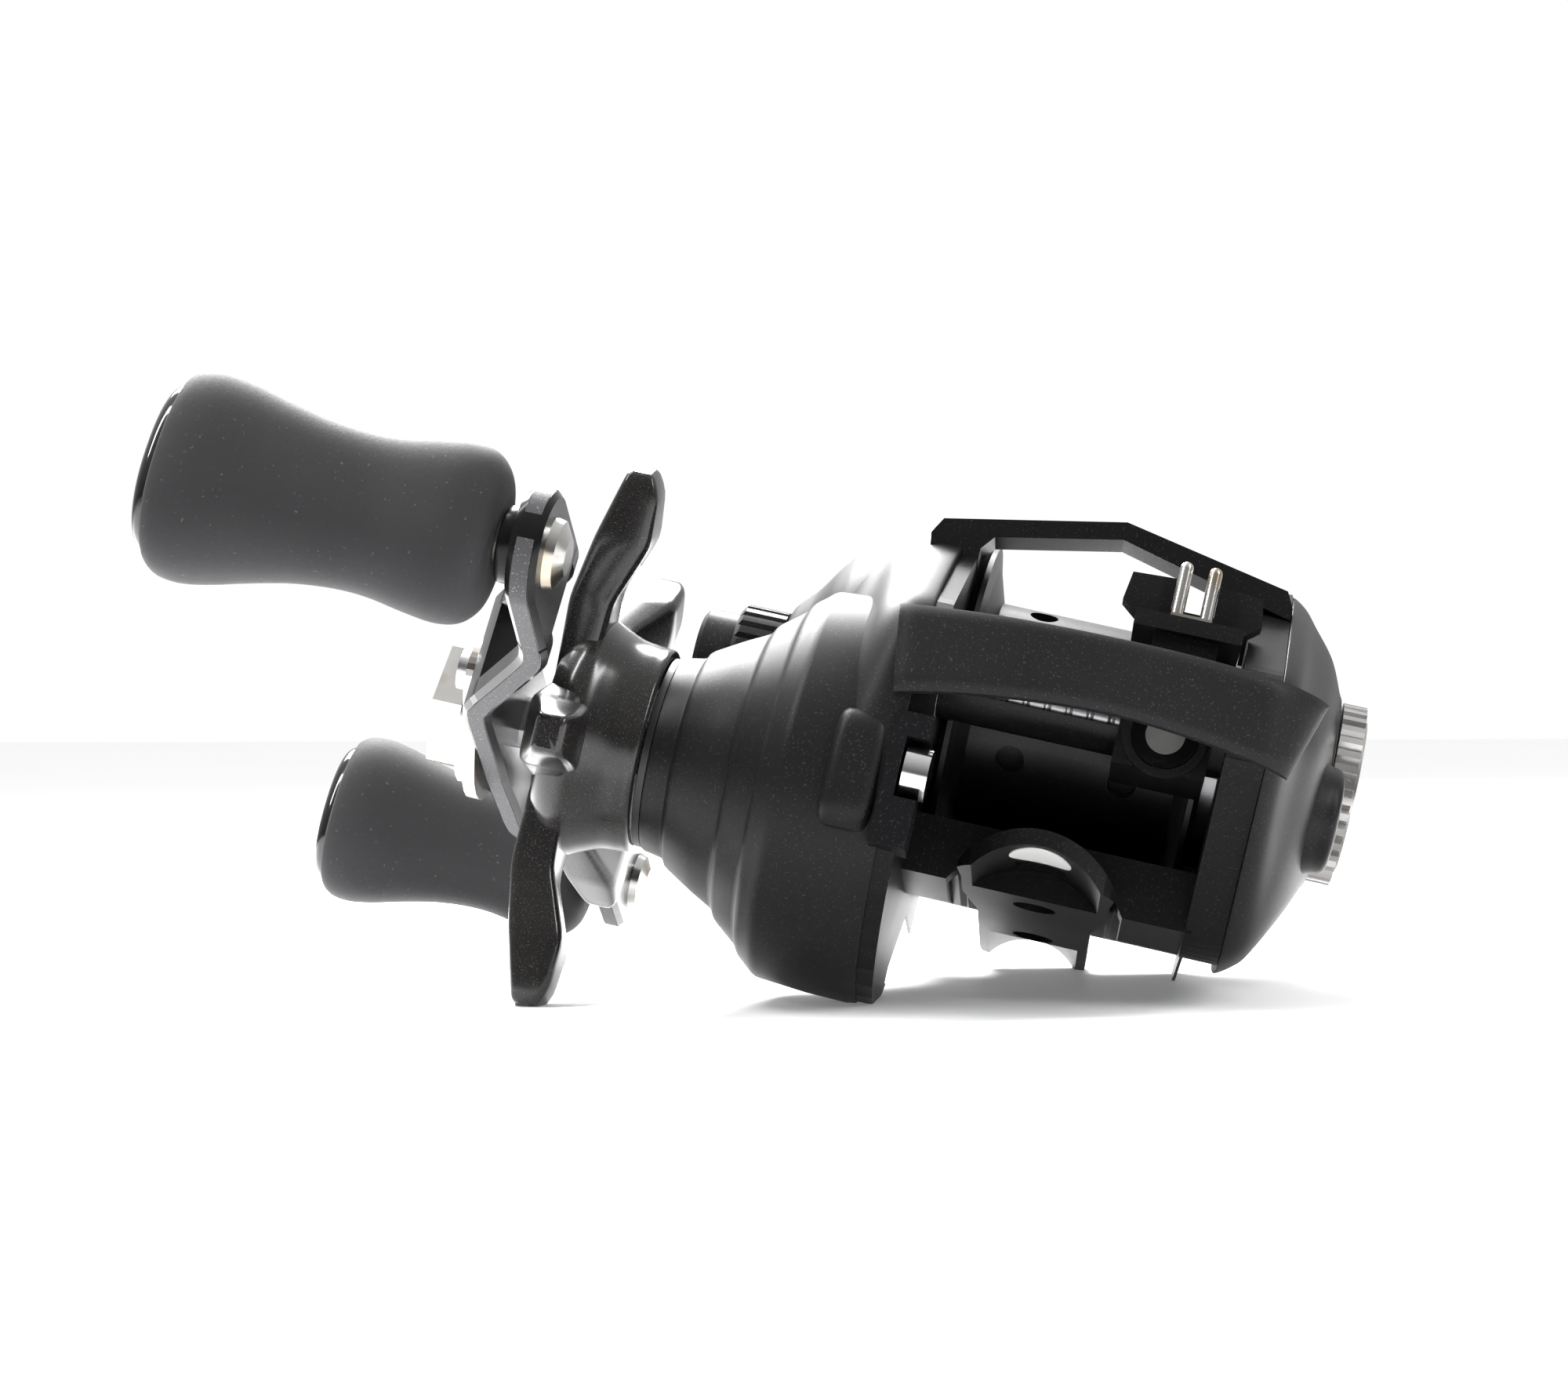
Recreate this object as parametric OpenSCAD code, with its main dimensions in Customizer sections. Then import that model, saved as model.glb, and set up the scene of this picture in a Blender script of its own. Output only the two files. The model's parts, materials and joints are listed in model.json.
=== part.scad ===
// Low-profile baitcasting reel, right-hand handle.
// +X points to the palm side, -Y to the line exit, +Z up from the foot.
// The origin is the middle of the foot, on the plane that its flat saddle rests on.

/* [Layout] */
// Height of the handle shaft above the foot's rest plane
shaft_z = 6; // [5.8:0.1:6.2]
// Front-to-back place of the handle shaft
shaft_y = -13; // [-13.2:0.1:-12.8]
// Height of the spool axis above the foot's rest plane
spool_z = 19.5; // [19.4:0.1:19.6]
// Front-to-back place of the level-wind worm
worm_y = -20.6; // [-20.7:0.1:-20.5]
// Height of the level-wind worm
worm_z = 17; // [16.9:0.1:17.1]

/* [Gears] */
// Module of the drive gear and pinion
drive_module = 0.55; // [0.55:0.01:0.55]
// Teeth on the drive gear
drive_teeth = 63; // [63:1:63]
// Teeth on the pinion
pinion_teeth = 10; // [10:1:10]
// Module of the level-wind gears
wind_module = 0.5; // [0.5:0.05:0.5]
// Pressure angle of every gear
pressure_angle = 25; // [24:1:26]
// Gap left on each tooth flank for running clearance
backlash = 0.07; // [0.05:0.01:0.09]

/* [Spool] */
// Radius of the spool's flanges
flange_r = 16.8; // [16.4:0.1:16.9]
// Radius of the bare spool drum
drum_r = 11.5; // [10.5:0.5:12]
// Radius of the spool shaft
spool_shaft_r = 1.5; // [1.4:0.05:1.55]

/* [Handle] */
// Distance from the shaft to each knob's axis
crank_r = 45; // [43:1:47]
// Tilt of the handle above level at the front
handle_tilt = 8; // [6:1:10]
// Radius of the knob posts
post_r = 2; // [1.9:0.05:2]
// Radius of the star drag's arm tips
star_r = 27; // [26:0.5:27.5]

/* [Foot] */
// Overall length of the reel foot
foot_l = 56; // [55:1:57]
// Overall width of the reel foot
foot_w = 14; // [13.6:0.2:14.4]
// Rise of the arch under the foot
foot_rise = 2.6; // [2.4:0.1:2.8]
// Thickness of the foot plate
foot_t = 1.5; // [1.4:0.1:1.6]

/* [Travel] */
// Travel of the pinion and yoke when the clutch opens
clutch_travel = 1.5; // [1.4:0.05:1.5]

/* [Hidden] */
$fn = 64;

// Centre distance of the drive gears, and the spool axis that it sets
drive_c = (drive_teeth + pinion_teeth) * drive_module / 2;
spool_y = shaft_y + sqrt(drive_c * drive_c - pow(spool_z - shaft_z, 2));
S = [shaft_y, shaft_z];
P = [spool_y, spool_z];
W = [worm_y, worm_z];
mesh_angle = atan2(P[1] - S[1], P[0] - S[0]);

// Walls of the frame and the covers, along X
wall_in = -12.6;
wall_out = -14.4;
ring_in = 14.2;
ring_out = 17.8;
cover_t = 1.4;

// Stations of the gear train, along X
gear_x0 = -21.4;
gear_x1 = -18.8;
pinion_x0 = -28.2;
pin_x = -15.9;
wind_x0 = -17.2;
wind_x1 = -15.6;
ratchet_x0 = -18.6;
sleeve_x = -28.6;

// Level-wind train: teeth and the place of the idler between shaft and worm
wind_drive_z = 24;
idler_z = 14;
worm_gear_z = 12;
da = (wind_drive_z + idler_z) * wind_module / 2;
db = (worm_gear_z + idler_z) * wind_module / 2;
dw = norm(W - S);
wind_angle = atan2(W[1] - S[1], W[0] - S[0]);
idler_off = acos((da * da + dw * dw - db * db) / (2 * da * dw));
idler_angle = wind_angle + idler_off;
G = S + da * [cos(idler_angle), sin(idler_angle)];
idler_to_worm = atan2(W[1] - G[1], W[0] - G[0]);

// Arch of the foot, wider under the front tip than under the rear one
foot_land = 1;
foot_half = foot_w / 2 - foot_land;
arch_r = (foot_half * foot_half + foot_rise * foot_rise) / (2 * foot_rise);
foot_rear_w = foot_w - 2.8;
rear_half = foot_rear_w / 2 - foot_land;
rear_arch_r = (rear_half * rear_half + foot_rise * foot_rise) / (2 * foot_rise);

// Where the knobs sit along X
knob_x0 = -48.5;
knob_x1 = -77.3;
knob_end = -78.6;

// Line guide
guide_x = 8.6;
guide_half = 4.3;

// Outline circles [y, z, radius] of the side walls
rear_c = [19.6, 20.5, 9.6];
front_c = [-24.6, 17, 7];
gear_outline = [[P[0], P[1], 18], [front_c[0], front_c[1], front_c[2]], [S[0], S[1], 18.9],
    [rear_c[0], rear_c[1], rear_c[2]]];
palm_outline = [[P[0], P[1], 18.4], [front_c[0], front_c[1], front_c[2]], [-14, 3.4, 5.6],
    [4, 6.4, 5.6], [rear_c[0], rear_c[1], rear_c[2]]];

// Link pin between the thumb bar and the clutch cam, and the cam arm's angle
link = [20.4, 27];
link_angle = atan2(link[1] - P[1], link[0] - P[0]);
thumb_travel = 4;
cam_turn = link_angle - atan2(link[1] - thumb_travel - P[1], link[0] - P[0]);

// Rod that keeps the line guide upright, and the screws that hold the gear side cover
rod_c = [-28, 20.4];
screw_places = [[21.5, 16.5], [-25.3, 20.9], [4, 33.6]];

// ---- helpers -------------------------------------------------------------

// Stand a shape that was drawn along local Z so that it runs along +X from x0, about c
module along_x(x0 = 0, c = [0, 0]) {
    translate([x0, c[0], c[1]]) rotate([90, 0, 90]) children();
}

// A round bar from x0 to x1
module rod(r, x0, x1, c) {
    along_x(min(x0, x1), c) cylinder(r = r, h = abs(x1 - x0));
}

// A round tube from x0 to x1
module tube(ro, ri, x0, x1, c) {
    along_x(min(x0, x1), c) difference() {
        cylinder(r = ro, h = abs(x1 - x0));
        translate([0, 0, -1]) cylinder(r = ri, h = abs(x1 - x0) + 2);
    }
}

// A turned shape from a list of [x, radius] points
module turned(points, c) {
    along_x(0, c) rotate_extrude() polygon([for (p = points) [p[1], p[0]]]);
}

// A plate between x0 and x1 from a 2-D shape drawn in Y and Z
module plate(x0, x1) {
    along_x(x0) linear_extrude(x1 - x0) children();
}

// A box from its two corners
module block(a, b) {
    translate(a) cube(b - a);
}

// Outline round a list of circles [y, z, r], given counter-clockwise
function edge_normal(a, b) = atan2(b[1] - a[1], b[0] - a[0]) - 90
    + asin((a[2] - b[2]) / norm([b[0] - a[0], b[1] - a[1]]));
function turn_up(a, b) = b < a - 0.001 ? turn_up(a, b + 360) : b;
function round_hull(c, step = 10) = [for (i = [0:len(c) - 1])
    let (p = c[(i + len(c) - 1) % len(c)], q = c[i], s = c[(i + 1) % len(c)],
        a0 = edge_normal(p, q), a1 = turn_up(a0, edge_normal(q, s)), n = max(1, ceil((a1 - a0) / step)))
    for (k = [0:n]) let (a = a0 + (a1 - a0) * k / n) [q[0] + q[2] * cos(a), q[1] + q[2] * sin(a)]];
function grown(c, d) = [for (q = c) [q[0], q[1], q[2] + d]];

// Half angle of an involute tooth at radius rho
function inv_deg(a) = tan(a) * 180 / PI - a;
function tooth_half(rho, r, z) = let (rb = r * cos(pressure_angle),
        a = acos(min(1, rb / max(rho, rb))))
    90 / z - backlash / r * 180 / PI + inv_deg(pressure_angle) - inv_deg(a);

// 2-D spur gear with a tooth centred on the angle phase
module gear2(m, z, phase = 0) {
    r = m * z / 2;
    ra = r + 0.8 * m;
    rf = r - 1.05 * m;
    steps = 3;
    polygon([for (i = [0:z - 1]) for (side = [-1, 1]) for (k = [0:steps])
        let (t = side < 0 ? k / steps : 1 - k / steps, rho = rf + (ra - rf) * t,
            a = phase + i * 360 / z + side * tooth_half(rho, r, z))
        [rho * cos(a), rho * sin(a)]]);
}

// Phase that puts gear b in mesh with gear a, whose centre line to b has angle line
function mesh_phase(line, za, phase_a, zb) = line + 180 + 180 / zb - (phase_a - line) * za / zb;

// Rounded slot in 2-D
module slot2(l, w) {
    polygon(round_hull([[-l / 2 + w / 2, 0, w / 2], [l / 2 - w / 2, 0, w / 2]], 15));
}

// Put children in the handle's own frame: local -Y runs to the front knob
module on_handle() {
    translate([0, S[0], S[1]]) rotate([-handle_tilt, 0, 0]) children();
}

// ---- frame and covers ----------------------------------------------------

floor_climb = 8.7;
spool_floor = [[wall_in - 0.6, -0.6], [-8.2, -0.6], [-8.2, 0.6], [8.2, 0.6], [8.2, -0.6],
    [ring_in + 0.6, -0.6], [ring_in + 0.6, 2.1], [9.8, 2.1], [7.8, 4.6], [3, 5.8], [-3, 5.8], [-7.8, 4.6],
    [-9.4, 2.1],
    [wall_in - 0.6, 2.1]];

module frame() {
    color([0.07, 0.07, 0.075]) difference() {
        union() {
            // gear-side wall
            plate(wall_out, wall_in) polygon(round_hull(gear_outline));
            // collar that carries the clutch cam
            rod(4.5, wall_out - 1.9, wall_out + 0.1, P);
            // stud that the idler gear turns on
            rod(1, wind_x0 - 0.05, wall_out + 0.1, G);
            // palm-side ring
            plate(ring_in, ring_out) polygon(round_hull(palm_outline));
            // floor under the spool, front crossbar and rear bridge
            translate([0, 13, 0]) rotate([90, 0, 0]) linear_extrude(28) polygon(spool_floor);
            block([wall_in - 0.6, -18.2, -0.6], [ring_in + 0.6, -16.4, 5]);
            block([wall_in - 0.6, -16.5, -0.6], [ring_in + 0.6, -14.9, 1.6]);
            block([wall_in - 0.6, 19.6, 2], [ring_in + 0.6, 21.6, 19]);
            block([wall_in - 0.6, 9.5, -0.6], [ring_in + 0.6, 13, 4.25]);
            block([wall_in - 0.6, 12.9, -0.6], [ring_in + 0.6, 21.6, 5.6]);
            // thumb rest over the front of the spool
            thumb_rest();
            // lug on the front of the gear side
            block([-15, -33, -1.3], [-11.6, -28.5, 11]);
            // tabs that carry the front cover
            block([wall_out, -32.3, 13.6], [wall_in, -28, 19.6]);
            block([ring_in, -32.6, 13.6], [ring_out, -28, 19.6]);
        }
        // the floor's underside climbs towards the rear
        translate([0, -5, -0.66]) rotate([floor_climb, 0, 0])
            block([wall_in - 0.3, 0, -9], [ring_in + 0.3, 40, 0]);
        // foot passes under the floor
        translate([0, 40, foot_rise - arch_r]) rotate([90, 0, 0])
            cylinder(r = arch_r + foot_t, h = 80, $fn = 96);
        block([-foot_w / 2 - 0.05, -32, -1], [foot_w / 2 + 0.05, 32, 1.25]);
        // spool opening in the palm-side ring
        rod(17.4, ring_in - 1, ring_out + 1, P);
        // bores in the gear-side wall
        rod(4, wall_out - 3, wall_in + 1, P);
        rod(4, wall_out - 1, wall_in - 0.3, S);
        rod(2.3, wall_out - 1, wall_in + 1, S);
        rod(3.6, wall_out - 1, wall_in + 1, W);
        // slot for the thumb bar's link
        plate(wall_out - 1, wall_in + 1) polygon(round_hull([[link[0], link[1] + 0.2, 1.4],
            [link[0], link[1] - thumb_travel - 0.2, 1.4]]));
        // notch that holds the lug screw
        block([-13.7, -34, 3.2], [-11, -28.2, 8.8]);
        // worm bushing and guide rod seats in the palm-side ring
        rod(2.6, ring_in - 1, ring_in + 2.5, W);
        rod(1.2, ring_in - 1, ring_in + 2.5, rod_c);
        rod(1.2, wall_out - 1, wall_in + 1, rod_c);
        // threads for the foot screws
        for (s = [-1, 1]) translate([0, s * 9, 2]) cylinder(r = 1.05, h = 3.65);
    }
}

rest_y0 = -14;
rest_y1 = -9.6;

// Chevron bar, low at its two ends and crowned in the middle
module thumb_rest() {
    top = [[-17.5, 32.8], [-16.6, 34.4], [0.7, 37.8], [17, 34.4], [ring_out, 32.8]];
    low = [[ring_out, 31.6], [13.8, 32.6], [0.7, 36], [-11.4, 33.6], [-12.5, 32.2], [-12.5, 30.8],
        [-17.2, 30.8]];
    translate([0, rest_y1, 0]) rotate([90, 0, 0]) linear_extrude(rest_y1 - rest_y0) polygon(concat(top, low));
}

// Bowed band in front of the line guide
module front_cover() {
    bow_r = 92;
    mid = 2.6;
    color([0.13, 0.13, 0.14]) difference() {
        intersection() {
            union() {
                translate([mid, bow_r - 35.6, 5]) difference() {
                    cylinder(r = bow_r, h = 20, $fn = 160);
                    translate([0, 0, -1]) cylinder(r = bow_r - 1.6, h = 22, $fn = 160);
                }
                block([19.9, -33.4, 5], [21.5, -30.4, 25]);
            }
            translate([0, -25, 0]) rotate([90, 0, 0]) linear_extrude(12)
                polygon([[-17.1, 20.6], [-15.9, 12.4], [-8, 13.7], [2.5, 14.3], [12, 13.7], [19.9, 12.4],
                    [22.3, 20.5], [12, 21], [2.5, 21.1], [-8, 21]]);
        }
        block([-30, -36, 11.9], [-15.1, -30.9, 12.3]);
    }
}

gear_big = [[P[0], P[1], 18.2], [front_c[0], front_c[1], 7.2], [S[0], S[1], 19.3],
    [rear_c[0], rear_c[1], 9.8]];
gear_mid = [[P[0], P[1], 17.3], [-23.5, 16.5, 6.6], [S[0], S[1], 19.1], [17, 20.5, 9]];
gear_small = [[P[0], P[1], 13.4], [S[0], S[1], 18.4]];

// Hollow shell from three outlines; d shrinks it, and shift moves its outer faces inwards
module gear_shell(d, shift) {
    hull() {
        plate(wall_out - 0.2, wall_out) polygon(round_hull(grown(gear_big, -d), 12));
        plate(-19.2 + shift, -19 + shift) polygon(round_hull(grown(gear_mid, -d), 12));
        plate(-25.2 + shift, -25 + shift) polygon(round_hull(grown(gear_small, -d), 12));
    }
}

module gear_side_cover() {
    color([0.1, 0.1, 0.105]) difference() {
        union() {
            gear_shell(0, 0);
            // stepped boss round the drive shaft
            turned([[-24.5, 0], [-24.5, 18.3], [-25.9, 17.8], [-26.4, 16.9], [-29.4, 14.5], [-29.5, 13.8],
                [-35.1, 10.4], [-35.2, 9.8], [-37.6, 9.4], [-37.6, 0]], S);
            // dome over the pinion, with the neck for the cast control cap
            turned([[-24.3, 0], [-24.3, 14], [-26.2, 11.8], [-28, 9.1], [-29.8, 7.2], [-30.3, 6.6],
                [-30.3, 4.2],
                [-34, 4.2], [-34, 0]], P);
            // raised pad beside the frame's lug
            block([-19.8, -33, -0.8], [-15.1, -24, 11]);
        }
        difference() {
            gear_shell(cover_t, cover_t);
            // pillar round the cover screws
            for (q = screw_places) rod(1.9, -26, wall_out, q);
        }
        plate(wall_out - 0.3, wall_out + 1) polygon(round_hull(grown(gear_big, -cover_t)));
        // seat for the frame's lug
        block([-15.1, -34, -1.5], [-12, -28.4, 11.1]);
        // boss bore: one-way bearing seat, then the washer chamber
        rod(8.3, -36.8, -28.6, S);
        rod(6.4, -38, -28, S);
        rod(11.6, -28.7, -21, S);
        // room for the drive gear, and for the yoke with its springs
        rod(18.15, -22, wall_out + 1, S);
        rod(10.9, -25.4, -23, P);
        for (s = [-1, 1]) rod(1.6, -26.2, -25, P + s * post_c * post_dir);
        // pinion bearing seat and the spool shaft's way out
        rod(4, -28.4, -25, P);
        rod(2.9, -31.7, -28, P);
        rod(3.2, -35, -31.6, P);
        // recess under the end of the thumb rest
        block([-18.3, rest_y0 - 0.1, 30.7], [wall_out + 1, rest_y1 + 0.1, 40]);
        // room for the clutch cam's arm through its swing
        for (k = [0:2]) plate(wall_out - 2.2, wall_out + 1) translate(P) rotate(link_angle - cam_turn * k / 2)
            polygon(round_hull([[7, 0, 2.8], [19.7, 0, 2.5]], 12));
        for (q = screw_places) {
            rod(0.83, -30, -13, q);
            rod(1.5, -40, -17.8, q);
        }
    }
}

module cover_screws() {
    color([0.2, 0.2, 0.2]) for (q = screw_places) difference() {
        union() {
            rod(1.45, -19, -17.8, q);
            rod(0.8, -17.9, wall_out, q);
        }
        plate(-19.2, -18.5) translate(q) square([2, 0.4], center = true);
        plate(-19.2, -18.5) translate(q) square([0.4, 2], center = true);
    }
}

palm_big = grown(palm_outline, 0.1);
palm_mid = [[P[0], P[1], 15.8], [-21.5, 16.5, 5.6], [-13, 6, 5.6], [4, 8.4, 5.6], [17, 20.5, 8]];
palm_small = [[P[0], P[1], 10.2], [-8, 14, 5.2]];
palm_pad = [[-14, 13.4, 4.4], [-8, 14.6, 4.4]];

module palm_shell(d, shift) {
    hull() {
        plate(ring_out, ring_out + 0.2) polygon(round_hull(grown(palm_big, -d), 12));
        plate(20.6 - shift, 20.8 - shift) polygon(round_hull(grown(palm_mid, -d), 12));
        plate(24.6 - shift, 24.8 - shift) polygon(round_hull(grown(palm_small, -d), 12));
    }
}

module palm_side_cover() {
    color([0.12, 0.12, 0.13]) difference() {
        union() {
            difference() {
                palm_shell(0, 0);
                palm_shell(cover_t, cover_t);
                plate(ring_out - 1, ring_out + 0.1) polygon(round_hull(grown(palm_big, -cover_t)));
            }
            // boss for the spool bearing
            rod(5.2, 20.2, 24.2, P);
            // carrier ring for the magnets
            tube(14.3, 13.03, 18.9, 19.8, P);
            // raised pad in front of the brake dial
            plate(23.6, 25.9) polygon(round_hull(palm_pad));
        }
        rod(9.35, 24.8, 30, P);
        rod(4, 20, 22.6, P);
        rod(2.4, 20, 30, P);
    }
}

module brake_dial() {
    color([0.62, 0.62, 0.64]) difference() {
        union() {
            rod(9, 25, 27.3, P);
            rod(7.6, 27.2, 27.6, P);
            rod(2.3, 22.8, 25.1, P);
        }
        for (i = [0:35]) along_x(24.6, P) rotate([0, 0, i * 10]) translate([9.05, 0, 0]) rotate([0, 0, 45])
            translate([-0.35, -0.35, 0]) cube([0.7, 0.7, 4]);
        rod(6.2, 27.4, 28.2, P);
    }
}

// Cross-section of the foot: an arch between two flat lands, or a solid saddle
module foot_section(w, r, solid = false) {
    difference() {
        union() {
            translate([0, foot_rise - r]) circle(r = r + foot_t, $fn = 96);
            translate([-w / 2, 0]) square([w, 1.2]);
        }
        if (!solid) translate([0, foot_rise - r]) circle(r = r, $fn = 96);
        translate([-20, -40]) square([40, 40]);
    }
}

module reel_foot() {
    tip = 7.6;
    end = foot_l / 2;
    color([0.1, 0.1, 0.105]) difference() {
        intersection() {
            union() {
                rotate([90, 0, 0]) linear_extrude(end) foot_section(foot_w, arch_r);
                translate([0, end, 0]) rotate([90, 0, 0]) linear_extrude(end + 1)
                    foot_section(foot_rear_w, rear_arch_r);
                // solid saddle between the two arched tips
                translate([0, -1, 0]) rotate([90, 0, 0]) linear_extrude(13)
                    foot_section(foot_w, arch_r, solid = true);
                translate([0, 11.3, 0]) rotate([90, 0, 0]) linear_extrude(12.4)
                    foot_section(foot_rear_w, rear_arch_r, solid = true);
            }
            translate([0, 0, -5]) linear_extrude(20)
                polygon(concat([for (a = [-75:10:75]) [tip * sin(a), tip - end - tip * cos(a)]],
                    [[foot_w / 2, -18], [foot_w / 2, -10], [foot_rear_w / 2, -1], [foot_rear_w / 2, end - 5]],
                    [for (a = [45:-10:-45]) [tip * sin(a), end - tip + tip * cos(a)]],
                    [[-foot_rear_w / 2, end - 5], [-foot_rear_w / 2, -1], [-foot_w / 2, -10],
                        [-foot_w / 2, -18]]));
        }
        // slot behind the label
        translate([-2.4, -18.6, -1]) cube([4.8, 2.8, 10]);
        // screw seats
        for (s = [-1, 1]) translate([0, s * 9, -1]) {
            cylinder(r = 1.05, h = 12);
            cylinder(r = 2.1, h = 1 + foot_rise + 0.7);
        }
    }
}

module foot_screws() {
    color([0.55, 0.55, 0.57]) for (s = [-1, 1]) translate([0, s * 9, 0]) difference() {
        union() {
            translate([0, 0, foot_rise - 0.5]) cylinder(r = 2, h = 1.2);
            translate([0, 0, foot_rise]) cylinder(r = 1.05, h = 3);
        }
        translate([-1.2, -0.25, foot_rise - 1]) cube([2.4, 0.5, 0.9]);
    }
}

// Blank oval label under the front tip
module foot_label() {
    color([0.93, 0.93, 0.92]) intersection() {
        translate([0, -19.4, foot_rise - arch_r]) rotate([90, 0, 0]) linear_extrude(7.5) difference() {
            circle(r = arch_r, $fn = 96);
            circle(r = arch_r - 0.12, $fn = 96);
        }
        translate([0, -23.2, 0]) linear_extrude(5)
            polygon([for (a = [0:12:348]) [2.9 * cos(a), 3.3 * sin(a)]]);
    }
}

module lug_screw() {
    color([0.8, 0.8, 0.8]) {
        rod(2.45, -13.4, -11.1, [-30.9, 6]);
    }
}

// ---- bearings and fixed inner parts --------------------------------------

module one_way_bearing() {
    color([0.6, 0.6, 0.6]) tube(8.27, 5.05, -36.7, -29.4, S);
}

module boss_seal() {
    color([0.03, 0.03, 0.03]) tube(9.2, 5.6, -38.25, -37.6, S);
}

module shaft_bearing() {
    color([0.7, 0.7, 0.72]) tube(3.97, 2.05, wall_out, wall_in - 0.35, S);
}

module pinion_bearing() {
    color([0.7, 0.7, 0.72]) tube(3.97, 2.25, -28.35, -26, P);
}

module cap_bearing() {
    color([0.7, 0.7, 0.72]) tube(3.17, spool_shaft_r + 0.05, -33.4, -31.7, P);
}

module palm_bearing() {
    color([0.7, 0.7, 0.72]) tube(3.97, spool_shaft_r + 0.05, 20.3, 22.55, P);
}

module magnet_holder() {
    color([0.25, 0.25, 0.27]) difference() {
        tube(13, 11.2, 15.4, 19.7, P);
        for (i = [0:7]) along_x(15.2, P) rotate([0, 0, i * 45])
            translate([10.5, -1.6, 0]) cube([1.9, 3.2, 4.2]);
    }
}

module brake_magnets() {
    color([0.75, 0.75, 0.78]) for (i = [0:7]) along_x(15.4, P) rotate([0, 0, i * 45])
        translate([11, -1.6, 0]) cube([1.4, 3.2, 4]);
}

module worm_guard() {
    color([0.06, 0.06, 0.06]) difference() {
        tube(3.3, 2.35, wall_in, ring_in, W);
        // open front for the pawl
        block([-9.6, W[0] - 4, W[1] - 1.2], [12.4, W[0], W[1] + 1.2]);
    }
}

module worm_bushings() {
    color([0.75, 0.7, 0.6]) {
        tube(3.57, 1.55, wall_out, wall_in, W);
        tube(2.57, 1.55, ring_in, ring_in + 2.45, W);
    }
}

module guide_rod() {
    color([0.7, 0.7, 0.72]) rod(1.17, wall_out, ring_in + 2.45, rod_c);
}

post_dir = [-sin(mesh_angle), cos(mesh_angle)];
post_c = 8.5;

module yoke_posts() {
    color([0.7, 0.7, 0.7]) for (s = [-1, 1]) {
        rod(0.8, -26.1, wall_out, P + s * post_c * post_dir);
        rod(1.1, -17, wall_out, P + s * post_c * post_dir);
    }
}

module yoke_springs() {
    color([0.6, 0.6, 0.6]) for (s = [-1, 1]) for (i = [0:2])
        along_x(-25.98 + i * 0.42, P + s * post_c * post_dir) rotate_extrude()
            translate([1.1, 0]) circle(r = 0.15);
}

// ---- handle, drive shaft and drag ----------------------------------------

module drive_shaft() {
    color([0.72, 0.72, 0.74]) difference() {
        union() {
            rod(2, wall_out - 0.5, wall_in - 0.5, S);
            rod(3, -37, wall_out - 0.3, S);
            rod(4.6, wind_x0 - 0.2, wind_x0, S);
            rod(2.5, -57.6, -36.9, S);
        }
        // flats that drive the handle
        for (s = [-1, 1]) on_handle() block([-58, s > 0 ? 2 : -4, -3], [-49.5, s > 0 ? 4 : -2, 3]);
    }
}

drive_phase = mesh_angle;

module drive_gear() {
    color([0.72, 0.6, 0.35]) difference() {
        plate(gear_x0, gear_x1) translate(S) gear2(drive_module, drive_teeth, drive_phase);
        rod(3, gear_x0 - 1, gear_x1 + 1, S);
        rod(12, gear_x0 - 1, gear_x0 + 1, S);
        for (i = [0:5]) rod(1.5, gear_x0 - 1, gear_x1 + 1, S + 14 * [cos(60 * i), sin(60 * i)]);
    }
}

module drag_washer() {
    color([0.12, 0.12, 0.12]) tube(11.9, 3, gear_x0, gear_x0 + 1, S);
}

module pressure_plate() {
    color([0.65, 0.65, 0.66]) tube(11, 3, gear_x0 - 1.1, gear_x0, S);
}

module anti_reverse_ratchet() {
    color([0.6, 0.6, 0.62]) plate(ratchet_x0, wind_x0 - 0.2) difference() {
        translate(S) polygon([for (i = [0:11]) for (k = [0, 1])
            let (a = 30 * i + 24 * k, r = k == 0 ? 9.2 : 10.8)
            [r * cos(a), r * sin(a)]]);
        translate(S) circle(r = 3);
    }
}

module clutch_sleeve() {
    color([0.75, 0.75, 0.77]) tube(5, 3, -36.9, sleeve_x, S);
}

module drag_springs() {
    color([0.6, 0.6, 0.6]) {
        for (i = [0:2]) tube(6.8, 3, gear_x0 - 2.2 - 1.2 * i, gear_x0 - 1.2 - 1.2 * i, S);
        tube(4.4, 3, sleeve_x, -26.1, S);
    }
}

wind_phase = idler_angle;
idler_phase = mesh_phase(idler_angle, wind_drive_z, wind_phase, idler_z);
worm_gear_phase = mesh_phase(idler_to_worm, idler_z, idler_phase, worm_gear_z);

module wind_drive_gear() {
    color([0.85, 0.83, 0.75]) plate(wind_x0, wind_x1) difference() {
        translate(S) gear2(wind_module, wind_drive_z, wind_phase);
        translate(S) circle(r = 3);
    }
}

module idler_gear() {
    color([0.85, 0.83, 0.75]) difference() {
        plate(wind_x0, wind_x1) translate(G) gear2(wind_module, idler_z, idler_phase);
        rod(1.05, wind_x0 - 1, wind_x1 + 1, G);
    }
}

module worm_gear() {
    color([0.85, 0.83, 0.75]) difference() {
        plate(wind_x0, wind_x1) translate(W) gear2(wind_module, worm_gear_z, worm_gear_phase);
        rod(1.5, wind_x0 - 1, wind_x1 + 1, W);
    }
}

handle_t = 2.6;
handle_mid = -54;
handle_low = -46.7;

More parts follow.
